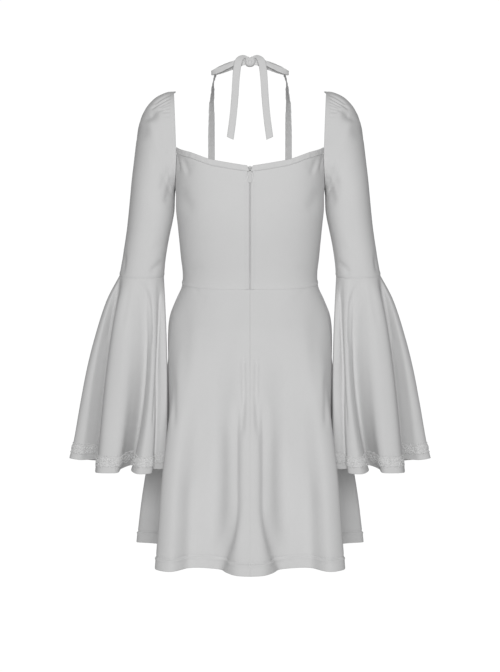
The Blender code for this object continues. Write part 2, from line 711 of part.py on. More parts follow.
def back_y(z):
    """Depth of the middle of the back at a height."""
    line = zip_line()
    for a, b in zip(line, line[1:]):
        if z >= b.z:
            return a.lerp(b, (a.z - z) / (a.z - b.z)).y
    return line[-1].y


def flat_outline(name, loops, thickness, tone, parts):
    """A flat outline with its holes, as a filled 2D curve of a given thickness."""
    curve = bpy.data.curves.new(name, "CURVE")
    curve.dimensions = "2D"
    curve.fill_mode = "BOTH"
    curve.extrude = thickness / 2
    for points in loops:
        spline = curve.splines.new("POLY")
        spline.points.add(len(points) - 1)
        for point, (x, y) in zip(spline.points, points):
            point.co = (x, y, 0, 1)
        spline.use_cyclic_u = True
    curve.materials.append(material_for(name, tone))
    thing = bpy.data.objects.new(name, curve)
    parts.objects.link(thing)
    return thing


def arc(x, y, radius, start, end, steps):
    """Points along an arc, angles in degrees."""
    angles = [math.radians(start + (end - start) * i / steps) for i in range(steps + 1)]
    return [(x + radius * math.cos(angle), y + radius * math.sin(angle)) for angle in angles]


def make_zip(parts):
    """Tape inside the middle back, a slider in the notch of the neck band, and its pull tab."""
    heights = [TAPE_TOP, *(p.z for p in zip_line() if TAPE_BOTTOM < p.z < TAPE_TOP), TAPE_BOTTOM]
    rows = [[Vector((x, back_y(z) - TAPE_DEPTH, z)) for x in (-TAPE_WIDTH / 2, TAPE_WIDTH / 2)]
            for z in heights]
    add_sheet("zip_tape", rows, TAPE, parts, TAPE_THICKNESS)

    hinge = Vector((0, back_y(HINGE_Z) + HINGE_OUT, HINGE_Z))
    inside = back_y(HINGE_Z) - TAPE_DEPTH + SEAM - hinge.y
    body = [(inside, SLIDER_BOTTOM), (inside, SLIDER_TOP), (inside + SLIDER_TOP_DEPTH, SLIDER_TOP),
            *arc(0, 0, BRIDGE_RADIUS, 120, -120, 10), (inside + SLIDER_BOTTOM_DEPTH, SLIDER_BOTTOM)]
    hole = arc(0, 0, BRIDGE_HOLE, 0, 330, 11)
    slider = flat_outline("zip_slider", [body, hole], 2 * SLIDER_HALF_WIDTH, ENAMEL, parts)
    slider.location = hinge
    slider.rotation_euler = (math.pi / 2, 0, math.pi / 2)

    side = [(PULL_SHOULDER, PULL_CROSSBAR), (PULL_SHOULDER, PULL_EYE_BOTTOM), (PULL_WAIST, PULL_WAIST_Z)]
    bob = arc(0, PULL_BOB_RADIUS - PULL_LENGTH, PULL_BOB_RADIUS, 10, -190, 12)
    tab = [*side, *bob, *[(-x, y) for x, y in reversed(side)]]
    eye = [(PULL_EYE_HALF_WIDTH, -PULL_CROSSBAR), (PULL_EYE_HALF_WIDTH, PULL_EYE_BOTTOM),
           (-PULL_EYE_HALF_WIDTH, PULL_EYE_BOTTOM), (-PULL_EYE_HALF_WIDTH, -PULL_CROSSBAR)]
    pull = flat_outline("zip_pull", [tab, eye], PULL_THICKNESS, ENAMEL, parts)
    pull.location = hinge
    pull.rotation_euler = (math.pi / 2, 0, 0)


def main():
    empty_the_scene()
    parts = bpy.data.collections.new("halter_dress")
    bpy.context.scene.collection.children.link(parts)
    make_bodice(parts)
    make_neck_bands(parts)
    make_sleeves(parts)
    make_bells(parts)
    make_skirt(parts)
    make_ties(parts)
    make_zip(parts)


main()
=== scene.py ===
# %% [markdown]
# # A halter dress on a hollow, worn form
#
# This lesson dresses a rigid model of a short dress in cloth that looks soft. The rigid model is the
# frame: it gives every panel its place, and nothing in it is moved here. Each panel is rebuilt as a
# fine sheet on the same form, then pressed with the creases, gathers and seams of the real one.

# %% Load the frame
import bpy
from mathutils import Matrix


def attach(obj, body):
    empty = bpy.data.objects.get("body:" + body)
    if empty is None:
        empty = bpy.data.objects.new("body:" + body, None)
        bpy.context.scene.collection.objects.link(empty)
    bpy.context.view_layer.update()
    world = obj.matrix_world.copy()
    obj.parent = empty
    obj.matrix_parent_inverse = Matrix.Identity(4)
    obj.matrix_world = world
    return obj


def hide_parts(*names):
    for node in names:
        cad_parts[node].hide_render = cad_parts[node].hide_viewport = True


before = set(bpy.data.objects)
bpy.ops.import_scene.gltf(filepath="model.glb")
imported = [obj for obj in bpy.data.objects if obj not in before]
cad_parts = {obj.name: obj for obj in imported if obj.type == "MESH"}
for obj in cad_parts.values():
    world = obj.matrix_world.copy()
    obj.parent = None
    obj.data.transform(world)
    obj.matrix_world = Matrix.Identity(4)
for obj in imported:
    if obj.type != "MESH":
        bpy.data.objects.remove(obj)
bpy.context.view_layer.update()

# %% Modules and the two words every piece uses
import math
from collections import namedtuple

import bmesh
import bpy
import numpy as np
from mathutils import Vector

DRESS = "dress"
HANDS = (("left", 1), ("right", -1))
MM = 0.001

# %% [markdown]
# ## The camera
#
# The dress was photographed from behind, a little above its middle, by a camera about 2.8 m away. A
# long lens at that distance keeps the shoulders and hem in true proportion. The lens follows from the
# height that the picture spans at the dress: 672 pixels of 1.77 mm.

# %% Camera
TARGET_Z = -0.472
CAMERA_DISTANCE = 2.8
CAMERA_PITCH = math.radians(3.1)
PICTURE_ROWS = 672
PIXEL_MM = 1.77
VIEW_HEIGHT = PICTURE_ROWS * PIXEL_MM * MM
FILM = 36.0

film = bpy.data.cameras.new("camera")
film.sensor_width = FILM
film.lens = FILM * CAMERA_DISTANCE / VIEW_HEIGHT
camera = bpy.data.objects.new("camera", film)
camera.location = (0, CAMERA_DISTANCE * math.cos(CAMERA_PITCH),
                   TARGET_Z + CAMERA_DISTANCE * math.sin(CAMERA_PITCH))
camera.rotation_euler = (math.pi / 2 - CAMERA_PITCH, 0, math.pi)
bpy.context.scene.collection.objects.link(camera)
bpy.context.scene.camera = camera
print("lens", round(film.lens, 1), "mm")

# %% [markdown]
# ## Light and surroundings
#
# The photograph has a pure white ground, soft light from the camera's side and edges that turn darker
# as the cloth rounds away. A white dome round the set gives the ground, and it is hidden from every ray
# but the camera's own, so it adds no light. A dim world fills the shadows. One wide soft lamp stands
# just above the camera, and a second one lights the front of the dress for views from there. The floor
# is as far below the neck as a real floor would be.

# %% World, dome, floor and lamps
WORLD_LIGHT = 0.20
DOME_RADIUS = 20.0
FLOOR_Z = -1.45
FLOOR_RADIUS = 1.3
LAMP_SIZE = 1.5

world = bpy.data.worlds.new("studio")
world.use_nodes = True
world.node_tree.nodes["Background"].inputs["Color"].default_value = (1, 1, 1, 1)
world.node_tree.nodes["Background"].inputs["Strength"].default_value = WORLD_LIGHT
bpy.context.scene.world = world
bpy.context.scene.view_settings.view_transform = "Standard"


def stage_mesh(name, build):
    """A mesh that belongs to the set and not to the dress."""
    cage = bmesh.new()
    build(cage)
    mesh = bpy.data.meshes.new(name)
    cage.to_mesh(mesh)
    cage.free()
    mesh.shade_smooth()
    thing = bpy.data.objects.new(name, mesh)
    bpy.context.scene.collection.objects.link(thing)
    return thing


dome = stage_mesh("dome", lambda cage: bmesh.ops.create_uvsphere(
    cage, u_segments=32, v_segments=16, radius=DOME_RADIUS))
for ray in ("diffuse", "glossy", "transmission", "volume_scatter", "shadow"):
    setattr(dome, "visible_" + ray, False)
floor = stage_mesh("floor", lambda cage: bmesh.ops.create_circle(
    cage, cap_ends=True, segments=96, radius=FLOOR_RADIUS))
floor.location.z = FLOOR_Z


def lamp(name, place, aim, spread, power):
    """A square soft lamp that points at a place and fades out to a spread in degrees."""
    light = bpy.data.lights.new(name, "AREA")
    light.size = LAMP_SIZE
    light.spread = math.radians(spread)
    light.energy = power
    thing = bpy.data.objects.new(name, light)
    thing.location = place
    away = Vector(place) - Vector(aim)
    thing.rotation_euler = away.to_track_quat("Z", "Y").to_euler()
    bpy.context.scene.collection.objects.link(thing)


lamp("back_key", (0.0, 3.0, 0.25), (0, 0, -0.35), 130, 34)
lamp("front_key", (0.3, -3.0, 0.2), (0, 0, -0.50), 180, 60)
print("lamps", [thing.name for thing in bpy.data.objects if thing.type == "LIGHT"])

# %% [markdown]
# ## Shader maths that reads like maths
#
# A material is a net of nodes. To keep it readable, one small class wraps a socket, so that an
# expression such as `1 - mask * 0.4` adds its Math nodes by itself. A bench holds one material and has
# one method that adds any other node: its type, its settings, then its sockets.

# %% Socket and bench
class Value:
    """One output socket of numbers, which takes part in plain arithmetic."""

    def __init__(self, bench, socket):
        self.bench = bench
        self.socket = socket

    def work(self, operation, first, second):
        return self.bench.node("ShaderNodeMath", {"operation": operation}, {0: first, 1: second})

    def __add__(self, other):
        return self.work("ADD", self, other)

    def __radd__(self, other):
        return self.work("ADD", other, self)

    def __sub__(self, other):
        return self.work("SUBTRACT", self, other)

    def __rsub__(self, other):
        return self.work("SUBTRACT", other, self)

    def __mul__(self, other):
        return self.work("MULTIPLY", self, other)

    def __rmul__(self, other):
        return self.work("MULTIPLY", other, self)


class Bench:
    """The node net of one material."""

    def __init__(self, name):
        self.material = bpy.data.materials.new(name)
        self.material.use_nodes = True
        self.tree = self.material.node_tree
        self.tree.nodes.clear()

    def node(self, kind, settings=None, sockets=None, output=0):
        """Add a node, set it up, fill its sockets and return one output."""
        made = self.tree.nodes.new(kind)
        for key, value in (settings or {}).items():
            setattr(made, key, value)
        for key, value in (sockets or {}).items():
            if isinstance(value, Value):
                self.tree.links.new(value.socket, made.inputs[key])
            else:
                made.inputs[key].default_value = value
        return Value(self, made.outputs[output]) if made.outputs else None

    def mix(self, factor, first, second):
        """Blend two colours."""
        return self.node("ShaderNodeMix", {"data_type": "RGBA"}, {0: factor, 6: first, 7: second}, 2)

    def noise(self, place, scale, detail=2.0, roughness=0.5):
        """Noise from 0 to 1 at a place."""
        return self.node("ShaderNodeTexNoise", {}, {"Vector": place, "Scale": scale, "Detail": detail,
                                                    "Roughness": roughness})

    def sine(self, value):
        """Sine of a value."""
        return self.node("ShaderNodeMath", {"operation": "SINE"}, {0: value})

    def finish(self, sockets):
        """The shader and the material's output."""
        shader = self.node("ShaderNodeBsdfPrincipled", {}, sockets)
        self.node("ShaderNodeOutputMaterial", {}, {"Surface": shader})
        return self.material


# %% [markdown]
# ## The cloth
#
# The dress is a pale grey stretch cloth with a short soft nap. Up close it has fine crossing ribs, a
# little fibre fuzz and a faint cloudiness where the nap leans. The ribs follow the cloth's own
# directions, which each sheet stores in metres in its UV map, so they bend with every fold.

# %% Cloth, tie, lace, tape and enamel materials
NAP_SCALE = 9.0
NAP_GLOSS = 0.1
SPECKLE_SCALE = 420.0
WEAVE_STRENGTH = 0.22
WEAVE_HEIGHT = 0.0004


def grey(level):
    """A neutral colour."""
    return (level, level, level, 1.0)


def woven(name, tone, rib, fuzz, roughness=0.82, sheen=0.12, cloud=0.05):
    """Cloth with ribs across each other, fuzz and cloudy nap. Rib is the spacing in metres."""
    bench = Bench(name)
    flat = bench.node("ShaderNodeUVMap", {"uv_map": "cloth"})
    axes = bench.node("ShaderNodeSeparateXYZ", {}, {0: flat})
    down = Value(bench, axes.socket.node.outputs[1])
    turns = 2 * math.pi / rib
    ribs = bench.sine(axes * turns) * bench.sine(down * turns)
    place = bench.node("ShaderNodeTexCoord", output=3)
    fibres = bench.noise(place, fuzz, 4.0, 0.65)
    leaning = bench.noise(place, NAP_SCALE, 3.0)
    speckle = bench.noise(place, SPECKLE_SCALE, 2.0)
    shade = bench.mix(leaning * 0.75 + speckle * 0.25, grey(tone * (1 - cloud)), grey(tone * (1 + cloud)))
    height = ribs * 0.5 + fibres
    bump = bench.node("ShaderNodeBump", {}, {"Strength": WEAVE_STRENGTH, "Distance": WEAVE_HEIGHT,
                                             "Height": height})
    return bench.finish({"Base Color": shade, "Roughness": leaning * NAP_GLOSS + (roughness - NAP_GLOSS / 2),
                         "Normal": bump, "Sheen Weight": sheen, "Sheen Roughness": 0.45,
                         "Specular IOR Level": 0.25})


def enamel():
    """Painted metal, a little worn, for the zip's slider and pull."""
    bench = Bench("zip_enamel")
    place = bench.node("ShaderNodeTexCoord", output=3)
    wear = bench.noise(place, 300.0, 3.0)
    shade = bench.mix(wear, grey(0.40), grey(0.50))
    bump = bench.node("ShaderNodeBump", {}, {"Strength": 0.1, "Distance": 0.0001, "Height": wear})
    return bench.finish({"Base Color": shade, "Roughness": wear * 0.2 + 0.28, "Normal": bump})


def plain(name, tone, glow=0.0):
    """A set surface: matt, or glowing evenly."""
    bench = Bench(name)
    place = bench.node("ShaderNodeTexCoord", output=3)
    grain = bench.noise(place, 3.0)
    shade = bench.mix(grain, grey(tone * 0.98), grey(tone))
    return bench.finish({"Base Color": shade, "Roughness": 0.9, "Emission Color": grey(1.0),
                         "Emission Strength": glow})


CLOTH = woven("cloth", 0.66, 0.0009, 900.0)
TIE = woven("tie_cloth", 0.66, 0.0007, 1100.0, sheen=0.08)
LACE = woven("lace", 0.71, 0.0005, 1600.0, roughness=0.75)
# The zip tape's darker tone is painted shade for the slit between the rolled back edges.
TAPE_WITH_PAINTED_SHADE = woven("zip_tape", 0.50, 0.0012, 1200.0, roughness=0.7)
THREAD = woven("thread", 0.66, 0.0004, 2000.0, roughness=0.6)
ENAMEL = enamel()
dome.data.materials.append(plain("dome_white", 0.0, 1.02))
floor.data.materials.append(plain("floor_white", 0.76))
print("materials", [material.name for material in bpy.data.materials])

# %% [markdown]
# ## Curves through short tables
#
# Every form of the dress comes from a short table of rings or folds. A smooth curve passes through
# each named column, and it is worked out for many places at once.

# %% Reading a table
def curve(keys, values, at):
    """Smooth curve through points, at one place or many."""
    keys, values, at = (np.asarray(v, float) for v in (keys, values, at))
    last = len(keys) - 1
    before = np.maximum(np.arange(last + 1) - 1, 0)
    after = np.minimum(np.arange(last + 1) + 1, last)
    slope = (values[after] - values[before]) / (keys[after] - keys[before])
    i = np.clip(np.searchsorted(keys, at, "right") - 1, 0, last - 1)
    span = keys[i + 1] - keys[i]
    t = np.clip((at - keys[i]) / span, 0, 1)
    rise, fall, step = slope[i] * span, slope[i + 1] * span, values[i + 1] - values[i]
    return values[i] + t * (rise + t * (3 * step - 2 * rise - fall + t * (rise + fall - 2 * step)))


def column(rows, name):
    """One named column of a table."""
    return np.array([getattr(row, name) for row in rows])


def read(rows, key, name, at):
    """Smooth value of a named column at a key."""
    return curve(column(rows, key), column(rows, name), at)


def signed_power(value, exponent):
    """Power that keeps the sign, which squares or rounds a ring."""
    return np.sign(value) * np.abs(value) ** exponent


def distances(points):
    """Distance of each point of a line from the line's start."""
    return np.concatenate([[0], np.cumsum(np.linalg.norm(np.diff(points, axis=0), axis=1))])


def unit(vectors):
    """The same directions with a length of one."""
    return vectors / np.maximum(np.linalg.norm(vectors, axis=-1, keepdims=True), 1e-12)


def hump(distance, width):
    """A smooth hump: 1 at a distance of 0, and almost 0 at twice the width."""
    return np.exp(-(distance / width) ** 2)


# %% [markdown]
# ## The torso
#
# The bodice and skirt hang on one smooth hollow form, a stack of rounded rings. A point on it is named
# by its turn, 0 at the middle of the back, 0.5 at the side and 1 at the middle of the front, and by its
# height. The rings are measured once into a fine grid, and every later reading is taken from that.

# %% Torso rings
SIDE_Y = -0.010
Ring = namedtuple("Ring", "z half_width back front back_power front_power")
TORSO = [
    Ring(-0.140, 0.1310, 0.0920, -0.0930, 3.2, 4.6),
    Ring(-0.176, 0.1310, 0.0926, -0.0990, 3.2, 4.6),
    Ring(-0.210, 0.1310, 0.0930, -0.1070, 3.1, 4.4),
    Ring(-0.249, 0.1302, 0.0912, -0.1120, 3.0, 4.0),
    Ring(-0.278, 0.1273, 0.0870, -0.1100, 2.9, 3.6),
    Ring(-0.306, 0.1246, 0.0815, -0.1040, 2.8, 3.2),
    Ring(-0.334, 0.1220, 0.0760, -0.0970, 2.7, 2.9),
    Ring(-0.362, 0.1190, 0.0715, -0.0900, 2.6, 2.7),
    Ring(-0.385, 0.1210, 0.0700, -0.0880, 2.6, 2.6),
    Ring(-0.405, 0.1300, 0.0765, -0.0925, 2.5, 2.5),
    Ring(-0.434, 0.1415, 0.0875, -0.0990, 2.5, 2.5),
    Ring(-0.460, 0.1450, 0.0975, -0.1040, 2.8, 2.6),
    Ring(-0.520, 0.1450, 0.1125, -0.1110, 3.6, 2.8),
    Ring(-0.600, 0.1440, 0.1240, -0.1190, 3.7, 2.9),
    Ring(-0.700, 0.1440, 0.1350, -0.1280, 3.6, 3.0),
    Ring(-0.780, 0.1470, 0.1440, -0.1360, 3.2, 3.0),
    Ring(-0.870, 0.1500, 0.1550, -0.1450, 3.0, 3.0),
]
BUST_X = 0.072
BUST_Z = -0.243
BUST_RISE = 0.013
BUST_SPREAD_X = 0.034
BUST_SPREAD_Z = 0.036

WAIST_SIDE = -0.379
GRID_TOP = -0.05
GRID_BOTTOM = -0.90
GRID_STEP = 0.001
GRID_SHARES = 240
QUARTER_POINTS = 91
QUARTER_BUNCH = 1.5
grid_depth = np.arange(-GRID_TOP, -GRID_BOTTOM, GRID_STEP)
ring_at = {name: curve(-column(TORSO, "z"), column(TORSO, name), grid_depth)
           for name in ("half_width", "back", "front", "back_power", "front_power")}


def quarter(i, side):
    """Evenly spaced points of one quarter ring, from its middle out to the side."""
    reach = ring_at[side][i] - SIDE_Y
    square = 2 / ring_at[side + "_power"][i]
    turn = np.pi / 2 * np.linspace(0, 1, QUARTER_POINTS) ** QUARTER_BUNCH
    x = ring_at["half_width"][i] * signed_power(np.sin(turn), square)
    y = SIDE_Y + reach * signed_power(np.cos(turn), square)
    length = np.concatenate([[0], np.cumsum(np.hypot(np.diff(x), np.diff(y)))])
    even = np.linspace(0, length[-1], GRID_SHARES + 1)
    return np.interp(even, length, x), np.interp(even, length, y), length[-1]


rings_x, rings_y, back_length, front_length = [], [], [], []
for i in range(len(grid_depth)):
    back_x, back_y, back_long = quarter(i, "back")
    front_x, front_y, front_long = quarter(i, "front")
    rings_x.append(np.concatenate([back_x, front_x[-2::-1]]))
    rings_y.append(np.concatenate([back_y, front_y[-2::-1]]))
    back_length.append(back_long)
    front_length.append(front_long)
rings_x, rings_y = np.array(rings_x), np.array(rings_y)
waist_half = sum(np.interp(-WAIST_SIDE, grid_depth, length) for length in (back_length, front_length))
print("torso grid", rings_x.shape, "waist girth", round(2 * waist_half, 3))


# %% A point of the torso
def torso_point(turn, z):
    """Points of the torso for arrays of turns and heights."""
    turn, z = np.broadcast_arrays(np.asarray(turn, float), np.asarray(z, float))
    down = np.clip((-z - grid_depth[0]) / GRID_STEP, 0, len(grid_depth) - 1.001)
    over = np.clip(turn, 0, 1) * 2 * GRID_SHARES
    over = np.minimum(over, 2 * GRID_SHARES - 0.001)
    i, j = down.astype(int), over.astype(int)
    s, t = down - i, over - j

    def blend(grid):
        return ((1 - s) * ((1 - t) * grid[i, j] + t * grid[i, j + 1])
                + s * ((1 - t) * grid[i + 1, j] + t * grid[i + 1, j + 1]))

    x, y = blend(rings_x), blend(rings_y)
    bust = np.exp(-((x - BUST_X) / BUST_SPREAD_X) ** 2 - ((z - BUST_Z) / BUST_SPREAD_Z) ** 2)
    return np.stack([x, y - np.where(turn > 0.5, BUST_RISE * bust, 0), z], axis=-1)


def side_x(y, z):
    """How far out the side wall is at a depth and height."""
    back = y > SIDE_Y
    depth = -np.asarray(z)
    reach = np.where(back, np.interp(depth, grid_depth, ring_at["back"]),
                     np.interp(depth, grid_depth, ring_at["front"])) - SIDE_Y
    square = np.where(back, np.interp(depth, grid_depth, ring_at["back_power"]),
                      np.interp(depth, grid_depth, ring_at["front_power"]))
    width = np.interp(depth, grid_depth, ring_at["half_width"])
    return width * np.maximum(1 - np.abs((y - SIDE_Y) / reach) ** square, 0) ** (1 / square)


def turn_at(y, z):
    """The turn at which the torso has a depth, at a height."""
    i = int(round((-z - grid_depth[0]) / GRID_STEP))
    turns = np.linspace(0, 1, 2 * GRID_SHARES + 1)
    return float(np.interp(-y, -rings_y[i], turns))


# %% [markdown]
# ## From points to cloth
#
# A sheet is a grid of points. Its creases are pressed in along the surface's own normals, and its cut
# edges roll inwards a little where they are sewn. A Solidify modifier gives the wall. The UV map holds
# real distances, so the weave has one size everywhere.

# %% Grids, normals and sheets
WALL = 0.0013
EDGE_STEPS = np.array([0, 0.12, 0.5, 1.0, 1.6, 2.4, 3.2, 4.0, 5.0, 6.2]) * MM
total_triangles = 0


def outward(grid, closed=False, turning=1):
    """Unit normals that point away from the wearer. Rows run down, and turning is 1 where columns run
    round from the outer side to the back and front, as on a sleeve, or -1 where they run from back to
    front."""
    if closed:
        around = np.roll(grid, -1, 1) - np.roll(grid, 1, 1)
    else:
        around = np.gradient(grid, axis=1)
    return unit(np.cross(np.gradient(grid, axis=0), around) * turning)


def press(grid, sink, **facing):
    """Move the points of a grid inwards by a depth each."""
    return grid - outward(grid, **facing) * sink[..., None]


def mirror(grid, side):
    """The grid itself for the left, or its mirror image for the right."""
    return grid * np.array([side, 1, 1])


def new_object(name, points, faces, material, flat):
    """A mesh object with its material and its UV map in metres."""
    mesh = bpy.data.meshes.new(name)
    mesh.from_pydata(points.tolist(), [], faces)
    mesh.materials.append(material)
    mesh.shade_smooth()
    layer = mesh.uv_layers.new(name="cloth")
    corners = np.empty(len(mesh.loops), dtype=np.int32)
    mesh.loops.foreach_get("vertex_index", corners)
    layer.data.foreach_set("uv", flat[corners].ravel())
    thing = bpy.data.objects.new(name, mesh)
    bpy.context.scene.collection.objects.link(thing)
    return thing


def grid_faces(rows, columns, closed, flip):
    """Quads of a grid."""
    r = np.arange(rows - 1)[:, None] * columns
    c = np.arange(columns if closed else columns - 1)[None, :]
    d = (c + 1) % columns
    quads = np.stack([r + c, r + d, r + columns + d, r + columns + c], -1).reshape(-1, 4)
    return (quads[:, ::-1] if flip else quads).tolist()


def sheet(name, grid, material, wall=WALL, closed=False, flip=False):
    """A grid made into a cloth wall, whose thickness goes inwards."""
    global total_triangles
    rows, columns = grid.shape[:2]
    run_across = np.linalg.norm(np.diff(grid, axis=1), axis=-1).mean(axis=0)
    run_down = np.linalg.norm(np.diff(grid, axis=0), axis=-1).mean(axis=1)
    u = np.concatenate([[0], np.cumsum(run_across)])
    v = np.concatenate([[0], np.cumsum(run_down)])
    flat = np.stack(np.meshgrid(u, -v), -1).reshape(-1, 2)
    thing = new_object(name, grid.reshape(-1, 3), grid_faces(rows, columns, closed, flip), material, flat)
    solidify = thing.modifiers.new("wall", "SOLIDIFY")
    solidify.thickness = wall
    solidify.offset = -1.0
    total_triangles += 4 * rows * columns
    diagonal = grid[1:, 1:] - grid[:-1, :-1]
    other = grid[1:, :-1] - grid[:-1, 1:]
    area = np.linalg.norm(np.cross(diagonal, other), axis=-1).sum() / 2
    print(name, "area", round(area, 5), "across", round(u[-1], 3), "down", round(v[-1], 3))
    return thing


def dress_piece(thing, slot, *nodes):
    """Put a finished piece on the dress, in place of its solids."""
    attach(thing, DRESS)
    if nodes:
        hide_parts(*nodes)
    return thing


def steps(length, spacing, near_start=False, near_end=False):
    """Shares from 0 to 1 with a spacing in metres, closer together at an edge that rolls in."""
    low = EDGE_STEPS if near_start else np.array([0.0])
    high = length - EDGE_STEPS[::-1] if near_end else np.array([length])
    count = max(int((high[0] - low[-1]) / spacing), 2)
    middle = np.linspace(low[-1], high[0], count + 1)[1:-1]
    return np.concatenate([low, middle, high]) / length


def roll(distance, width, depth):
    """How far a cloth edge turns in, at a distance from the edge."""
    share = np.clip(1 - distance / width, 0, 1)
    return depth * (1 - np.sqrt(np.maximum(1 - share ** 2, 0)))


# %% [markdown]
# ## Creases placed one by one
#
# A crease is a short polyline on the dress with a width and a depth. Points near the line sink below
# the surface, or rise where the depth is negative, and the crease fades at both ends. Places are in
# metres across and up, as seen straight on, and a crease lies on one face of the dress, back or front.

# %% Pressing creases
Crease = namedtuple("Crease", "face points width depth fade")
CREASE_SHARES = 6


def crease_depth(grid, creases):
    """How deep all the creases are at each point of a grid."""
    depth = np.zeros(grid.shape[:2])
    place = grid[..., [0, 2]]
    for crease in creases:
        line = np.array(crease.points, float)
        lengths = distances(line)
        key = np.linspace(0, lengths[-1], CREASE_SHARES * len(line))
        fine = np.stack([curve(lengths, line[:, k], key) for k in (0, 1)], -1)
        near = np.full(depth.shape, np.inf)
        where = np.zeros(depth.shape)
        for a, b, start, end in zip(fine, fine[1:], key, key[1:]):
            along = b - a
            t = np.clip(((place - a) @ along) / (along @ along), 0, 1)
            gap = np.linalg.norm(place - a - t[..., None] * along, axis=-1)
            closer = gap < near
            near = np.where(closer, gap, near)
            where = np.where(closer, start + t * (end - start), where)
        ends = np.minimum(where, lengths[-1] - where)
        taper = np.clip(ends / crease.fade, 0, 1)
        taper = taper * taper * (3 - 2 * taper)
        facing = (grid[..., 1] > SIDE_Y) if crease.face == "back" else (grid[..., 1] < SIDE_Y)
        depth += crease.depth * hump(near, crease.width) * taper * facing
    return depth


# %% [markdown]
# ## The bodice
#
# Two back panels meet at the zip and one front panel is shaped over a general bust. Each is cut with
# a neckline, an armhole and a waist seam, so every column of its grid starts at its own height. The
# middle back edges roll in over the zip, and the sewn edges dip to make seam lines.

# %% Neckline, armhole and waist
BAND_HEIGHT = 0.010
BACK_NECK_MIDDLE = -0.176
FRONT_NECK_MIDDLE = -0.186
NECK_CURVE = 1.25
WAIST_BACK_DIP = 0.009
LOOP_TOP = -0.0435
LOOP_BOTTOM = -0.2106
LOOP_BACK_DEPTH = 0.050
LOOP_FRONT_DEPTH = 0.042
LOOP_LEAN = 0.9
LOOP_TIP_X = 0.1345
LOOP_POWER = 2.3
CORNER_ANGLE = math.radians(108)
CORNER_LIFT = 0.0053
CORNER_FROM = 0.40
CORNER_SPAN = 0.34
FRONT_SET_OUT = 0.0052
SEAM = 0.0004
NECK_RUN = 0.155
BODICE_DROP = 0.20
BODICE_ROW = 0.0034
BODICE_COLUMN = 0.0032
HOLE_COLUMNS = 21


def loop_yz(angle):
    """Depth and height of the ring where the sleeve begins: angle 0 is the shoulder tip."""
    depth = np.where(np.sin(angle) > 0, LOOP_BACK_DEPTH, LOOP_FRONT_DEPTH)
    y = SIDE_Y + depth * signed_power(np.sin(angle), 2 / LOOP_POWER)
    middle, half = (LOOP_TOP + LOOP_BOTTOM) / 2, (LOOP_TOP - LOOP_BOTTOM) / 2
    return y, middle + half * signed_power(np.cos(angle), 2 / LOOP_POWER)


def loop_x(angle):
    """The ring follows the side wall along the armhole and leans out to the shoulder tip."""
    bend = np.abs((angle + np.pi) % (2 * np.pi) - np.pi)
    wall = side_x(*loop_yz(angle)) + SEAM
    side = np.where(np.sin(angle) > 0, CORNER_ANGLE, -CORNER_ANGLE)
    corner = side_x(*loop_yz(side)) + SEAM
    share = np.minimum(bend / CORNER_ANGLE, 1)
    lean = corner + (LOOP_TIP_X - corner) * (1 - share ** LOOP_LEAN)
    lean += np.where(np.sin(angle) < 0, FRONT_SET_OUT * np.sin(np.pi * share), 0)
    return np.where(bend >= CORNER_ANGLE, wall, lean)


def waist_z(turn):
    """Height of the waist seam, which dips towards the middle of the back."""
    turn = np.asarray(turn, float)
    return WAIST_SIDE - np.where(turn < 0.5, WAIST_BACK_DIP * (1 - np.minimum(turn * 2, 1) ** 3), 0)


def bodice_columns(back, spacing=BODICE_COLUMN):
    """Turn and top height of each column of a bodice half, from its middle to the side seam."""
    sign = 1 if back else -1
    corner_y, corner_z = (float(v) for v in loop_yz(np.array(sign * CORNER_ANGLE)))
    corner_turn = turn_at(corner_y, corner_z)
    middle = 0.0 if back else 1.0
    middle_z = (BACK_NECK_MIDDLE if back else FRONT_NECK_MIDDLE) - BAND_HEIGHT
    share = steps(NECK_RUN, spacing, near_start=back)
    turns = middle + (corner_turn - middle) * share
    tops = middle_z + (corner_z - middle_z) * share ** NECK_CURVE
    if back:
        rise = np.clip((share - CORNER_FROM) / CORNER_SPAN, 0, 1)
        tops += CORNER_LIFT * rise * rise * (3 - 2 * rise)
    angles = np.linspace(CORNER_ANGLE, np.pi, HOLE_COLUMNS + 1)[1:]
    y, z = loop_yz(sign * angles)
    hole = np.array([turn_at(a, b) for a, b in zip(y, z)])
    hole[-1] = 0.5
    return np.concatenate([turns, hole]), np.concatenate([tops, z])


def bodice_grid(back):
    """Grid of a bodice half, with the distance of each point from its sewn edges."""
    turns, tops = bodice_columns(back)
    bottoms = waist_z(turns)
    level = steps(BODICE_DROP, BODICE_ROW, near_start=True, near_end=True)[:, None]
    z = tops + (bottoms - tops) * level
    grid = torso_point(np.broadcast_to(turns, z.shape), z)
    to_waist = z - bottoms
    from_side = np.linalg.norm(grid - grid[:, -1:], axis=-1)
    from_middle = np.linalg.norm(grid - grid[:, :1], axis=-1)
    return grid, to_waist, from_side, from_middle


print("bodice columns", len(bodice_columns(True)[0]), "back and", len(bodice_columns(False)[0]), "front")

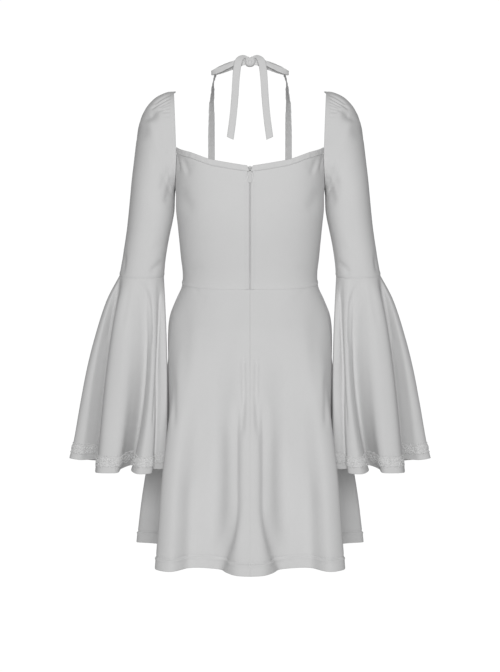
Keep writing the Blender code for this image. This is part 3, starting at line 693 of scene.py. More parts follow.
# %% Creases of the bodice
BODICE_CREASES = [
    Crease("back", [(0.1262, -0.155), (0.1240, -0.170), (0.1215, -0.187)], 0.0026, 0.0026, 0.010),
    Crease("back", [(0.1225, -0.158), (0.1165, -0.175), (0.1100, -0.194)], 0.0026, -0.0012, 0.012),
    Crease("back", [(0.1170, -0.160), (0.1100, -0.178), (0.1030, -0.196)], 0.0048, 0.0024, 0.014),
    Crease("back", [(0.1060, -0.168), (0.0960, -0.184)], 0.0050, 0.0010, 0.010),
    Crease("back", [(0.1240, -0.208), (0.1120, -0.236), (0.0990, -0.262)], 0.0110, 0.0026, 0.020),
    Crease("back", [(0.0028, -0.184), (0.0042, -0.194), (0.0060, -0.2040)], 0.0012, 0.0032, 0.003),
    Crease("back", [(0.1120, -0.362), (0.0960, -0.352), (0.0760, -0.349)], 0.0060, 0.0008, 0.015),
    Crease("front", [(0.1250, -0.170), (0.1120, -0.186), (0.0980, -0.200)], 0.0050, 0.0018, 0.014),
    Crease("front", [(0.1255, -0.222), (0.1130, -0.236), (0.0980, -0.245)], 0.0060, 0.0016, 0.016),
    Crease("front", [(0.0660, -0.290), (0.0610, -0.335), (0.0580, -0.377)], 0.0022, 0.0012, 0.012),
    Crease("front", [(0.1050, -0.360), (0.0900, -0.352), (0.0740, -0.352)], 0.0060, 0.0009, 0.015),
]
SEAM_ROLL = 0.0010
SEAM_DIP = 0.0002
ZIP_ROLL_WIDTH = 0.0021
ZIP_ROLL_DEPTH = 0.0019
ZIP_RIDGE = 0.0014
ZIP_RIDGE_AT = 0.0046
ZIP_RIDGE_WIDTH = 0.0026
ZIP_GAP = 0.0003
WAIST_RIDGE = 0.0011
WAIST_RIDGE_WIDTH = 0.0020
WAIST_RIDGE_LEAST = 0.12
WAIST_RIDGE_FULL_X = 0.12
BACK_RIDGE_AT = 0.0034
FRONT_RIDGE_AT = 0.0042


def waist_ridge(grid, to_waist, height):
    """A soft ridge at a height above the waist seam, which fades out towards the middle."""
    share = np.clip(np.abs(grid[..., 0]) / WAIST_RIDGE_FULL_X, 0, 1) ** 2
    share = WAIST_RIDGE_LEAST + (1 - WAIST_RIDGE_LEAST) * share
    return WAIST_RIDGE * share * hump(to_waist - height, WAIST_RIDGE_WIDTH)


def sewn(distance):
    """How far cloth dips beside a seam."""
    return roll(distance, SEAM_ROLL, SEAM_DIP)


# %% Back panels
back_grid, to_waist, from_side, from_middle = bodice_grid(True)
sink = crease_depth(back_grid, BODICE_CREASES)
sink += sewn(to_waist) + sewn(from_side)
sink += roll(from_middle, ZIP_ROLL_WIDTH, ZIP_ROLL_DEPTH)
sink -= ZIP_RIDGE * hump(from_middle - ZIP_RIDGE_AT, ZIP_RIDGE_WIDTH)
sink -= waist_ridge(back_grid, to_waist, BACK_RIDGE_AT)
back_grid = press(back_grid, sink, turning=-1)
back_grid[..., 0] += ZIP_GAP * hump(from_middle, 0.001)
for hand, side in HANDS:
    panel = sheet("back_bodice_cloth_" + hand, mirror(back_grid, side), CLOTH, flip=side < 0)
    dress_piece(panel, "cloth", "back_bodice_" + hand)
print("back panels", back_grid.shape)

# %% Front panel
front_grid, to_waist, from_side, _ = bodice_grid(False)
sink = crease_depth(front_grid, BODICE_CREASES)
sink += sewn(to_waist) + sewn(from_side)
sink -= waist_ridge(front_grid, to_waist, FRONT_RIDGE_AT)
front_grid = press(front_grid, sink)[:, ::-1]
whole_front = np.concatenate([front_grid, mirror(front_grid[:, -2::-1], -1)], axis=1)
panel = dress_piece(sheet("front_bodice_cloth", whole_front, CLOTH), "cloth", "front_bodice")
print("front panel", whole_front.shape)

# %% [markdown]
# ## Neck bands
#
# The neck edge is bound with a folded band 10 mm high. It is rounder and a little prouder than the
# panel, so that it catches the light and leaves a thin shadow under its lower edge, and the stitches
# that hold it pull small uneven puckers.

# %% Bands along the neck
CORNER_GAP = 0.0012
ZIP_NOTCH = 0.0016
NOTCH_FLARE = 0.0034
NOTCH_REACH = 0.020
BAND_WALL = 0.0018
BAND_COLUMN = 0.0022
BAND_ROWS = (0, 0.03, 0.08, 0.16, 0.28, 0.42, 0.56, 0.70, 0.82, 0.91, 0.97, 1.0)
BAND_OVERLAP = 0.0004
BAND_LIFT = 0.0003
BAND_BULGE = 0.0011
BAND_BEAD = 0.0007
BAND_BEAD_AT = 0.88
BAND_BEAD_WIDTH = 0.12
BAND_PUCKER = ((0.011, 0.00020, 0.4), (0.017, 0.00024, 2.0), (0.006, 0.00012, 1.1))
NECK_DEPTH = 0.17


def uneven(along, *waves):
    """A wandering value along a length, from waves of (wavelength, height, start)."""
    return sum(height * np.sin(2 * np.pi * along / wavelength + start)
               for wavelength, height, start in waves)


def band_grid(back):
    """Grid of a neck band half, from the middle to just short of the sleeve."""
    turns, tops = (columns[:-HOLE_COLUMNS] for columns in bodice_columns(back, BAND_COLUMN))
    length = 2 * np.interp(NECK_DEPTH, grid_depth, back_length if back else front_length)
    first = turns[0] + (ZIP_NOTCH / length if back else 0)
    last = turns[-1] - CORNER_GAP / length * (1 if back else -1)
    turns = first + (turns - turns[0]) / (turns[-1] - turns[0]) * (last - first)
    down = np.array(BAND_ROWS)[:, None]
    z = tops + BAND_HEIGHT * (1 - down) - BAND_OVERLAP * down
    turns = np.broadcast_to(turns, z.shape)
    if back:
        near = np.clip(1 - (turns - first) / (NOTCH_REACH / length), 0, 1)
        turns = turns + NOTCH_FLARE / length * (1 - down) * near
    grid = torso_point(turns, z)
    pucker = uneven(distances(grid[0]), *BAND_PUCKER) * np.sin(np.pi * down)
    lift = BAND_LIFT + BAND_BULGE * np.sin(np.pi * down ** 0.85) ** 0.7 + pucker
    lift = lift + BAND_BEAD * hump(down - BAND_BEAD_AT, BAND_BEAD_WIDTH)
    return press(grid, -lift, turning=-1 if back else 1)


back_band = band_grid(True)
for hand, side in HANDS:
    band = sheet("back_neck_binding_" + hand, mirror(back_band, side), TIE, BAND_WALL, flip=side < 0)
    dress_piece(band, "cloth", "back_neck_band_" + hand)
front_band = band_grid(False)[:, ::-1]
whole_band = np.concatenate([front_band, mirror(front_band[:, -2::-1], -1)], axis=1)
band = dress_piece(sheet("front_neck_binding", whole_band, TIE, BAND_WALL), "cloth", "front_neck_band")
print("bands", back_band.shape, whole_band.shape)

# %% [markdown]
# ## Sleeves
#
# Each sleeve is a tube of rings from the shoulder's open edge to the elbow. Its first ring stands
# upright and follows the armhole, and the rings after it ease into a sloping tube. The open edge is
# drawn in by elastic, so small gathers run from it over the shoulder cap. Half-way down, the tube is a
# little rounder than at its ends.

# %% Sleeve rings
Cuff = namedtuple("Cuff", "outer_x outer_z inner_x inner_z back front middle_y tilt ease")
SLEEVE = [
    Cuff(0.1345, -0.0435, 0.1314, -0.2106, 0.0500, 0.0420, -0.010, 0, 1.0),
    Cuff(0.1490, -0.0444, 0.1317, -0.2140, 0.0515, 0.0440, -0.010, 0, 0.6),
    Cuff(0.1630, -0.0502, 0.1320, -0.2170, 0.0525, 0.0460, -0.010, 0, 0.3),
    Cuff(0.1745, -0.0598, 0.1323, -0.2200, 0.0530, 0.0480, -0.010, 0, 0.1),
    Cuff(0.1845, -0.0725, 0.1325, -0.2230, 0.0530, 0.0500, -0.009, 0, 0.0),
    Cuff(0.1922, -0.0870, 0.1327, -0.2262, 0.0525, 0.0515, -0.009, 0, 0.0),
    Cuff(0.1974, -0.1060, 0.1328, -0.2296, 0.0520, 0.0520, -0.009, 0, 0.0),
    Cuff(0.2005, -0.1300, 0.1329, -0.2340, 0.0510, 0.0510, -0.008, 1, 0.0),
    Cuff(0.2043, -0.1620, 0.1330, -0.2420, 0.0500, 0.0500, -0.007, 2, 0.0),
    Cuff(0.2085, -0.1980, 0.1338, -0.2540, 0.0490, 0.0490, -0.005, 3, 0.0),
    Cuff(0.2122, -0.2380, 0.1370, -0.2720, 0.0475, 0.0475, -0.003, 4, 0.0),
    Cuff(0.2168, -0.2820, 0.1430, -0.3000, 0.0455, 0.0455, -0.001, 5, 0.0),
    Cuff(0.2234, -0.3260, 0.1485, -0.3330, 0.0435, 0.0435, 0.001, 5, 0.0),
    Cuff(0.2300, -0.3645, 0.1520, -0.3665, 0.0420, 0.0420, 0.002, 5, 0.0),
]
SLEEVE_END = len(SLEEVE) - 1
ARM_ROUNDING = 0.28
ARM_ROUND_AT = 6.5
ARM_ROUND_SPREAD = 2.6


def sleeve_point(key, angle):
    """Points of the left sleeve: key counts along the rings, angle 0 is the outer side."""
    key, angle = np.broadcast_arrays(np.asarray(key, float), np.asarray(angle, float))
    ring = {name: curve(np.arange(len(SLEEVE)), column(SLEEVE, name), key) for name in Cuff._fields}
    power = LOOP_POWER - ARM_ROUNDING * hump(key - ARM_ROUND_AT, ARM_ROUND_SPREAD)
    cosine = signed_power(np.cos(angle), 2 / power)
    sine = signed_power(np.sin(angle), 2 / power)
    depth = np.where(np.sin(angle) > 0, ring["back"], ring["front"]) * sine
    tilt = np.radians(ring["tilt"])
    x = (ring["outer_x"] + ring["inner_x"]) / 2 + (ring["outer_x"] - ring["inner_x"]) / 2 * cosine
    z = (ring["outer_z"] + ring["inner_z"]) / 2 + (ring["outer_z"] - ring["inner_z"]) / 2 * cosine
    first = SLEEVE[0]
    share = (loop_yz(angle)[1] - first.inner_z) / (first.outer_z - first.inner_z)
    flat_x = first.inner_x + (first.outer_x - first.inner_x) * share
    ease = np.maximum(ring["ease"], 0)
    return np.stack([x + ease * (loop_x(angle) - flat_x), ring["middle_y"] + depth * np.cos(tilt),
                     z - depth * np.sin(tilt)], axis=-1)


# %% Gathers and creases of the sleeve
SLEEVE_CREASES = [
    Crease("back", [(0.1372, -0.0470), (0.1530, -0.0556), (0.1690, -0.0668)], 0.0021, 0.0022, 0.006),
    Crease("back", [(0.1376, -0.0532), (0.1540, -0.0630), (0.1748, -0.0748)], 0.0022, 0.0027, 0.007),
    Crease("back", [(0.1374, -0.0600), (0.1480, -0.0662), (0.1610, -0.0722)], 0.0019, 0.0021, 0.005),
    Crease("back", [(0.1500, -0.0735), (0.1625, -0.0785), (0.1790, -0.0860)], 0.0036, 0.0012, 0.010),
    Crease("back", [(0.1370, -0.0662), (0.1460, -0.0700), (0.1560, -0.0738)], 0.0017, 0.0015, 0.004),
    Crease("back", [(0.1368, -0.0722), (0.1470, -0.0756), (0.1600, -0.0782)], 0.0022, 0.0015, 0.006),
    Crease("back", [(0.1368, -0.0800), (0.1450, -0.0806), (0.1540, -0.0806)], 0.0019, 0.0016, 0.005),
    Crease("back", [(0.1366, -0.0880), (0.1420, -0.0884), (0.1500, -0.0874)], 0.0020, 0.0009, 0.005),
    Crease("back", [(0.1960, -0.0985), (0.1830, -0.0890), (0.1640, -0.0850), (0.1540, -0.0835)],
           0.0088, 0.0062, 0.020),
    Crease("back", [(0.2020, -0.1300), (0.1880, -0.1150), (0.1700, -0.1020)], 0.0130, 0.0034, 0.020),
    Crease("front", [(0.1372, -0.0480), (0.1520, -0.0570), (0.1660, -0.0690)], 0.0022, 0.0022, 0.006),
    Crease("front", [(0.1374, -0.0550), (0.1560, -0.0660), (0.1720, -0.0790)], 0.0021, 0.0026, 0.007),
    Crease("front", [(0.1372, -0.0640), (0.1500, -0.0710), (0.1600, -0.0800)], 0.0023, 0.0020, 0.006),
    Crease("front", [(0.1370, -0.0730), (0.1480, -0.0790), (0.1620, -0.0840)], 0.0020, 0.0023, 0.006),
    Crease("front", [(0.1368, -0.0830), (0.1460, -0.0870), (0.1560, -0.0880)], 0.0022, 0.0015, 0.006),
    Crease("front", [(0.1960, -0.1060), (0.1810, -0.0960), (0.1660, -0.0920)], 0.0085, 0.0028, 0.014),
    Crease("back", [(0.1500, -0.338), (0.1620, -0.349), (0.1770, -0.362)], 0.0042, 0.0026, 0.012),
    Crease("back", [(0.2185, -0.322), (0.2200, -0.345), (0.2225, -0.364)], 0.0034, 0.0022, 0.016),
    Crease("back", [(0.1350, -0.185), (0.1400, -0.215), (0.1480, -0.245)], 0.0060, 0.0024, 0.016),
    Crease("back", [(0.1360, -0.175), (0.1480, -0.196), (0.1560, -0.222)], 0.0055, 0.0014, 0.014),
    Crease("back", [(0.1500, -0.300), (0.1650, -0.318), (0.1830, -0.330)], 0.0080, 0.0010, 0.020),
    Crease("front", [(0.1500, -0.330), (0.1640, -0.345), (0.1820, -0.356)], 0.0048, 0.0026, 0.014),
    Crease("front", [(0.1520, -0.300), (0.1690, -0.315), (0.1900, -0.320)], 0.0060, 0.0020, 0.018),
    Crease("front", [(0.1350, -0.180), (0.1420, -0.210), (0.1520, -0.236)], 0.0060, 0.0024, 0.016),
    Crease("front", [(0.1360, -0.168), (0.1500, -0.190), (0.1620, -0.218)], 0.0060, 0.0016, 0.014),
]

# %% Make the sleeves
CAP_HALF = 78
CAP_COLUMN = 1.12
ARM_COLUMN = 3.0
ARM_ROW = 0.145
EDGE_FADE = 8
EDGE_BEAD = 0.0007
EDGE_BEAD_AT = 0.0016
EDGE_BEAD_WIDTH = 0.0012
ELBOW_BEAD = 0.0007
ELBOW_BEAD_AT = 0.004
ELBOW_BEAD_WIDTH = 0.002
TIP_HALF = 9
TIP_REACH = 0.0044
TIP_REACH_WIDTH = 0.0055
TIP_RISE = 0.0028
TIP_RISE_WIDTH = 0.0130
TIP_DIP = 0.4
TIP_DIP_WIDTH = 0.0040
around = np.radians(np.concatenate([np.arange(-CAP_HALF, CAP_HALF, CAP_COLUMN),
                                    np.arange(CAP_HALF, 360 - CAP_HALF, ARM_COLUMN)]))
edge_keys = np.array([0, 0.008, 0.03, 0.07, 0.12, 0.18, 0.26, 0.36, 0.48, 0.62, 0.80])
end_keys = SLEEVE_END - np.array([0.11, 0.07, 0.045, 0.025, 0.012, 0.003, 0.0])
keys = np.concatenate([edge_keys, np.arange(1.0, SLEEVE_END - 0.14, ARM_ROW), end_keys])[:, None]
sleeve = sleeve_point(keys, around[None, :])
from_edge = np.linalg.norm(sleeve - sleeve[:1], axis=-1)
to_elbow = np.linalg.norm(sleeve - sleeve[-1:], axis=-1)
bend = np.degrees((around + np.pi) % (2 * np.pi) - np.pi)
open_edge = np.clip((math.degrees(CORNER_ANGLE) - np.abs(bend)) / EDGE_FADE, 0, 1)
sink = crease_depth(sleeve, SLEEVE_CREASES)
sink += roll(from_edge, 0.0007, 0.0003) * open_edge
sink -= EDGE_BEAD * hump(from_edge - EDGE_BEAD_AT, EDGE_BEAD_WIDTH)
sink += sewn(to_elbow) - ELBOW_BEAD * hump(to_elbow - ELBOW_BEAD_AT, ELBOW_BEAD_WIDTH)
sleeve = press(sleeve, sink, closed=True)
tip = hump(bend, TIP_HALF)
sleeve[..., 0] -= TIP_REACH * tip * hump(from_edge, TIP_REACH_WIDTH)
rise = hump(from_edge, TIP_RISE_WIDTH) - TIP_DIP * hump(from_edge, TIP_DIP_WIDTH)
sleeve[..., 2] += TIP_RISE * tip * rise
for hand, side in HANDS:
    piece = sheet("sleeve_cloth_" + hand, mirror(sleeve, side), CLOTH, closed=True, flip=side > 0)
    dress_piece(piece, "cloth", "sleeve_" + hand)
print("sleeve", sleeve.shape)

# %% [markdown]
# ## Bells
#
# Below the elbow a wide flounce is cut as part of a ring, so that its hem is far longer than its top.
# It falls in deep rounded folds. A table gives each ridge and groove of the hem, and the cloth between
# the elbow and the hem passes through a second ring at mid-height, where some folds have not begun.

# %% Bell folds
Fold = namedtuple("Fold", "angle x y z middle_x middle_y")
BELL_FOLDS = [
    Fold(0, 0.3215, -0.006, -0.6900, 0.2825, -0.004),
    Fold(16, 0.3010, 0.004, -0.6925, 0.2710, 0.010),
    Fold(27, 0.2745, -0.024, -0.6955, 0.2515, -0.006),
    Fold(34, 0.2705, -0.003, -0.6990, 0.2470, 0.012),
    Fold(42, 0.2715, 0.042, -0.7070, 0.2488, 0.037),
    Fold(53, 0.2640, 0.066, -0.7066, 0.2425, 0.052),
    Fold(66, 0.2430, 0.072, -0.7064, 0.2245, 0.059),
    Fold(75, 0.2290, 0.064, -0.7066, 0.2110, 0.057),
    Fold(83, 0.2265, 0.030, -0.7050, 0.1985, 0.048),
    Fold(92, 0.2130, -0.006, -0.7035, 0.1870, 0.037),
    Fold(100, 0.2050, 0.008, -0.7035, 0.1805, 0.036),
    Fold(108, 0.2080, 0.050, -0.7045, 0.1775, 0.044),
    Fold(118, 0.1950, 0.077, -0.7070, 0.1710, 0.053),
    Fold(131, 0.1715, 0.072, -0.7068, 0.1640, 0.050),
    Fold(138, 0.1695, 0.058, -0.7050, 0.1620, 0.043),
    Fold(145, 0.1690, 0.050, -0.7020, 0.1600, 0.042),
    Fold(158, 0.1570, 0.056, -0.7015, 0.1530, 0.045),
    Fold(170, 0.1453, 0.051, -0.7005, 0.1449, 0.042),
    Fold(188, 0.1490, 0.004, -0.7010, 0.1492, 0.003),
    Fold(210, 0.1630, -0.018, -0.7010, 0.1610, -0.022),
    Fold(230, 0.1720, -0.049, -0.7050, 0.1690, -0.042),
    Fold(252, 0.1960, -0.021, -0.7020, 0.1880, -0.035),
    Fold(278, 0.2150, -0.068, -0.7060, 0.2085, -0.056),
    Fold(304, 0.2420, -0.024, -0.7010, 0.2310, -0.034),
    Fold(328, 0.2740, -0.066, -0.7030, 0.2540, -0.047),
    Fold(345, 0.2880, -0.040, -0.6980, 0.2690, -0.026),
]
Flare = namedtuple("Flare", "level share")
BELL_FLARE = [
    Flare(0.000, 0.000),
    Flare(0.134, 0.222),
    Flare(0.350, 0.445),
    Flare(0.520, 0.592),
    Flare(0.680, 0.712),
    Flare(0.900, 0.885),
    Flare(1.000, 1.000),
]
BELL_MIDDLE = 0.42
BELL_COLUMNS = 286
last, first, second = BELL_FOLDS[-1], BELL_FOLDS[0], BELL_FOLDS[1]
BELL_ROUND = [last._replace(angle=last.angle - 360), *BELL_FOLDS, first._replace(angle=360),
              second._replace(angle=second.angle + 360)]
BELL_DROP = SLEEVE[-1].outer_z - BELL_FOLDS[0].z


def bell_hem(angle):
    """Hem points at angles in degrees."""
    return np.stack([read(BELL_ROUND, "angle", name, angle) for name in ("x", "y", "z")], axis=-1)


def bell_point(angle, level):
    """Points of the left bell: angle in degrees, level 0 at the elbow and 1 at the hem."""
    angle, level = np.broadcast_arrays(np.asarray(angle, float), np.asarray(level, float))
    top = sleeve_point(SLEEVE_END, np.radians(angle))
    hem = bell_hem(angle % 360)
    middle = [read(BELL_ROUND, "angle", name, angle % 360) for name in ("middle_x", "middle_y")]
    flare = read(BELL_FLARE, "level", "share", level)
    half_flare = read(BELL_FLARE, "level", "share", BELL_MIDDLE)
    bulge = level * (1 - level) / (BELL_MIDDLE * (1 - BELL_MIDDLE))
    plan = []
    for k in (0, 1):
        reach = hem[..., k] - top[..., k]
        plan.append(top[..., k] + reach * flare + (middle[k] - top[..., k] - reach * half_flare) * bulge)
    return np.stack([*plan, top[..., 2] + (hem[..., 2] - top[..., 2]) * level], axis=-1)


fine_angles = np.linspace(0, 360, 3601)
hem_length = distances(bell_hem(fine_angles % 360))
BELL_HEM = hem_length[-1]


def bell_angle(run):
    """The angle at a distance along the hem."""
    return np.interp(np.asarray(run) % BELL_HEM, hem_length, fine_angles)


print("bell hem", round(BELL_HEM, 3), "m round")

# %% Creases of the bell and its sheet
BELL_CREASES = [
    Crease("back", [(0.2254, -0.372), (0.2397, -0.425), (0.2540, -0.495)], 0.0040, 0.0022, 0.030),
    Crease("back", [(0.1960, -0.371), (0.1830, -0.390), (0.1735, -0.424), (0.1740, -0.495)],
           0.0044, 0.0020, 0.024),
    Crease("back", [(0.1570, -0.385), (0.1594, -0.459), (0.1635, -0.546), (0.1685, -0.634)],
           0.0018, 0.0030, 0.030),
    Crease("back", [(0.2080, -0.376), (0.2140, -0.410), (0.2230, -0.460)], 0.0050, 0.0010, 0.025),
    Crease("front", [(0.2250, -0.372), (0.2390, -0.425), (0.2520, -0.490)], 0.0042, 0.0022, 0.030),
    Crease("front", [(0.1900, -0.374), (0.1830, -0.410), (0.1850, -0.470)], 0.0036, 0.0024, 0.025),
    Crease("front", [(0.1640, -0.374), (0.1620, -0.430), (0.1650, -0.500)], 0.0034, 0.0020, 0.025),
]
BELL_ROW = 0.0045
BELL_HEM_STITCH = 0.0088
BELL_HEM_GROOVE = 0.0002
BELL_GROOVE_WIDTH = 0.0011
angles = bell_angle(np.linspace(0, BELL_HEM, BELL_COLUMNS, endpoint=False))
levels = steps(BELL_DROP, BELL_ROW, near_start=True, near_end=True)[:, None]
bell = bell_point(angles[None, :], levels)
to_hem = (1 - levels) * BELL_DROP * np.ones(bell.shape[:2])
from_elbow = levels * BELL_DROP * np.ones(bell.shape[:2])
sink = crease_depth(bell, BELL_CREASES)
sink += sewn(from_elbow) + roll(to_hem, 0.0016, 0.0008)
sink += BELL_HEM_GROOVE * hump(to_hem - BELL_HEM_STITCH, BELL_GROOVE_WIDTH)
bell = press(bell, sink, closed=True)
for hand, side in HANDS:
    piece = sheet("bell_cloth_" + hand, mirror(bell, side), CLOTH, closed=True, flip=side > 0)
    dress_piece(piece, "cloth", "bell_" + hand)
print("bell", bell.shape)

# %% [markdown]
# ## Lace trim
#
# A strip of corded lace 18 mm deep is sewn round each bell, just above the hem. Its ground is a thin
# band with scalloped edges. Small five-petal flowers, pairs of leaves and beads of thread stand on it.
# Every petal is one copy of a small dome, turned and stretched, and all of them are joined in one mesh.

# %% Domes joined in one mesh
DOME_SIDES = 6
DOME_SUNK = 0.35
DOME_RINGS = ((1.0, -DOME_SUNK), (0.92, 0.35), (0.62, 0.80), (0.25, 0.98))


def domes(name, material, centres, long_axes, short_axes, heights):
    """Many small domes: centre, half length, half width and height as vectors."""
    global total_triangles
    turn = np.arange(DOME_SIDES) / DOME_SIDES * 2 * np.pi
    rings = [centres[:, None] + scale * (np.cos(turn)[None, :, None] * long_axes[:, None]
                                         + np.sin(turn)[None, :, None] * short_axes[:, None])
             + rise * heights[:, None] for scale, rise in DOME_RINGS]
    poles = (centres + heights)[:, None], (centres - DOME_SUNK * heights)[:, None]
    points = np.concatenate([*rings, *poles], axis=1)
    count = DOME_SIDES * len(DOME_RINGS)
    faces = grid_faces(len(DOME_RINGS), DOME_SIDES, True, False)
    top = count - DOME_SIDES
    for c in range(DOME_SIDES):
        d = (c + 1) % DOME_SIDES
        faces.append((top + c, top + d, count))
        faces.append((d, c, count + 1))
    size = count + len(poles)
    joined = [tuple(k + i * size for k in face) for i in range(len(centres)) for face in faces]
    total_triangles += 2 * count * len(centres)
    points = points.reshape(-1, 3)
    return new_object(name, points, joined, material, points[:, [0, 2]])


# %% Where the lace lies
TRIM_MIDDLE = 0.0190
TRIM_HALF = 0.0078
TRIM_LIFT = 0.0003
PITCH_AIM = 0.0150
SCALLOP = 0.0013
SCALLOPS = 1.5
LACE_WALL = 0.0004
LACE_COLUMNS = 8
LACE_ROWS = 10


def bell_frame(run, above_hem):
    """Place, along, down and outward directions of the bell's surface, for points given by their
    distance along the hem and their height above it."""
    level = 1 - above_hem / BELL_DROP
    small = 0.0004
    place = bell_point(bell_angle(run), level)
    along = bell_point(bell_angle(run + small), level) - bell_point(bell_angle(run - small), level)
    down = bell_point(bell_angle(run), level + small) - bell_point(bell_angle(run), level - small)
    along = unit(along)
    out = unit(np.cross(down, along))
    return place, along, np.cross(along, out), out


flowers = round(BELL_HEM / PITCH_AIM)
pitch = BELL_HEM / flowers
runs = np.linspace(0, BELL_HEM, flowers * LACE_COLUMNS, endpoint=False)[None, :]
across = np.linspace(1, -1, LACE_ROWS)[:, None]
edge = TRIM_HALF + SCALLOP * np.abs(np.sin(np.pi * runs / pitch * SCALLOPS))
place, _, _, out = bell_frame(runs, TRIM_MIDDLE + across * edge)
ground = place + out * TRIM_LIFT
print("lace", flowers, "flowers, pitch", round(pitch * 1000, 1), "mm")

# %% Petals, leaves and beads
Dab = namedtuple("Dab", "run rise turn length width height")
LEAF_AND_BEADS = [
    Dab(0.50, 0.0040, 52, 0.0030, 0.0011, 0.0008),
    Dab(0.50, -0.0040, -52, 0.0030, 0.0011, 0.0008),
    Dab(0.36, 0.0022, 128, 0.0024, 0.0010, 0.0007),
    Dab(0.64, -0.0022, 128, 0.0024, 0.0010, 0.0007),
    Dab(0.50, 0.0000, 0, 0.0012, 0.0012, 0.0009),
    Dab(0.28, 0.0062, 20, 0.0024, 0.0010, 0.0008),
    Dab(0.72, 0.0062, -20, 0.0024, 0.0010, 0.0008),
    Dab(0.28, -0.0062, -20, 0.0024, 0.0010, 0.0008),
    Dab(0.72, -0.0062, 20, 0.0024, 0.0010, 0.0008),
    Dab(0.00, 0.0080, 0, 0.0016, 0.0011, 0.0009),
    Dab(0.17, 0.0088, 0, 0.0010, 0.0010, 0.0008),
    Dab(0.50, 0.0088, 0, 0.0012, 0.0011, 0.0009),
    Dab(0.83, 0.0088, 0, 0.0010, 0.0010, 0.0008),
    Dab(0.00, -0.0080, 0, 0.0016, 0.0011, 0.0009),
    Dab(0.33, -0.0087, 0, 0.0011, 0.0010, 0.0008),
    Dab(0.67, -0.0087, 0, 0.0011, 0.0010, 0.0008),
]
PETALS = 5
PETAL_OUT = 0.0032
FLOWER_LEAN = 25
FLOWER_GROWTH = 0.10
STRAY_ALONG = 0.0011
STRAY_UP = 0.0010
STRAY_TURN = 14
STRAY_HEIGHT = 0.25
DAB_LIFT = 0.0002
dabs = [Dab(0.0, 0.0, 0, 0.0013, 0.0013, 0.0014)]
for k in range(PETALS):
    turn = 90 + 360 * k / PETALS
    petal_x, petal_up = (PETAL_OUT * share(math.radians(turn)) for share in (math.cos, math.sin))
    dabs.append(Dab(petal_x / pitch, petal_up, turn, 0.0022, 0.0015, 0.0011))
dabs += LEAF_AND_BEADS
lengths, widths, heights, dab_runs, rises, turns = [], [], [], [], [], []
for flower in range(flowers):
    lean = FLOWER_LEAN * math.sin(flower * 2.4)
    size = 1 + FLOWER_GROWTH * math.sin(flower * 1.7)
    for k, dab in enumerate(dabs):
        stray = math.sin(7.3 * k + 3.1 * flower)
        dab_runs.append((flower + dab.run) * pitch + STRAY_ALONG * stray)
        rises.append(TRIM_MIDDLE + dab.rise + STRAY_UP * math.sin(5.1 * k + 1.9 * flower))
        turns.append(math.radians(dab.turn + lean + STRAY_TURN * stray))
        lengths.append(dab.length * size)
        widths.append(dab.width * size)
        heights.append(dab.height * (1 + STRAY_HEIGHT * stray))
dab_runs, rises, turns, lengths, widths, heights = (
    np.array(v) for v in (dab_runs, rises, turns, lengths, widths, heights))
place, along, up, out = bell_frame(dab_runs, rises)
cosine, sine = np.cos(turns)[:, None], np.sin(turns)[:, None]
centres = place + out * (TRIM_LIFT + DAB_LIFT)
long_axes = (along * cosine + up * sine) * lengths[:, None]
short_axes = (up * cosine - along * sine) * widths[:, None]
rise_axes = out * heights[:, None]
for hand, side in HANDS:
    strip = sheet("lace_ground_" + hand, mirror(ground, side), LACE, LACE_WALL, closed=True, flip=side > 0)
    dress_piece(strip, "lace", "bell_trim_" + hand)
    motifs = domes("lace_motifs_" + hand, LACE, mirror(centres, side), mirror(long_axes, side) * side,
                   mirror(short_axes, side), mirror(rise_axes, side))
    dress_piece(motifs, "lace")
print("dabs of thread", len(centres))

# %% [markdown]
# ## Skirt
#
# The skirt is fitted smoothly to the hip and then swings out to a flared hem. Two back panels join at
# the middle and one panel makes the front. A table gives the ridges and grooves of the hem, and another
# gives how soon the cloth swings from the smooth form to those folds.

# %% Skirt folds
Hem = namedtuple("Hem", "round x y z")
SKIRT_FOLDS = [
    Hem(0.000, 0.000, 0.190, -0.863),
    Hem(0.045, 0.026, 0.185, -0.862),
    Hem(0.092, 0.054, 0.153, -0.859),
    Hem(0.140, 0.078, 0.146, -0.857),
    Hem(0.180, 0.101, 0.148, -0.857),
    Hem(0.226, 0.134, 0.170, -0.859),
    Hem(0.264, 0.160, 0.151, -0.858),
    Hem(0.310, 0.149, 0.113, -0.856),
    Hem(0.375, 0.141, 0.060, -0.855),
    Hem(0.440, 0.140, 0.005, -0.855),
    Hem(0.500, 0.142, -0.042, -0.855),
    Hem(0.560, 0.176, -0.078, -0.857),
    Hem(0.615, 0.209, -0.097, -0.858),
    Hem(0.670, 0.186, -0.124, -0.858),
    Hem(0.735, 0.143, -0.131, -0.857),
    Hem(0.795, 0.110, -0.160, -0.859),
    Hem(0.855, 0.076, -0.143, -0.858),
    Hem(0.925, 0.040, -0.166, -0.859),
    Hem(1.000, 0.000, -0.148, -0.858),
]
Swing = namedtuple("Swing", "down weight")
SKIRT_SWING = [
    Swing(0.00, 0.00),
    Swing(0.06, 0.00),
    Swing(0.14, 0.02),
    Swing(0.24, 0.07),
    Swing(0.36, 0.22),
    Swing(0.50, 0.47),
    Swing(0.66, 0.72),
    Swing(0.82, 0.88),
    Swing(1.00, 1.00),
]


def skirt_hem(turn):
    """Hem points at turns."""
    return np.stack([read(SKIRT_FOLDS, "round", name, turn) for name in ("x", "y", "z")], axis=-1)


def skirt_point(turn, down):
    """Points of the skirt: turn as on the torso, down 0 at the waist and 1 at the hem."""
    turn, down = np.broadcast_arrays(np.asarray(turn, float), np.asarray(down, float))
    hem = skirt_hem(turn)
    top = waist_z(turn)
    z = top + (hem[..., 2] - top) * down
    fold = hem - torso_point(turn, hem[..., 2])
    return torso_point(turn, z) + fold * read(SKIRT_SWING, "down", "weight", down)[..., None]


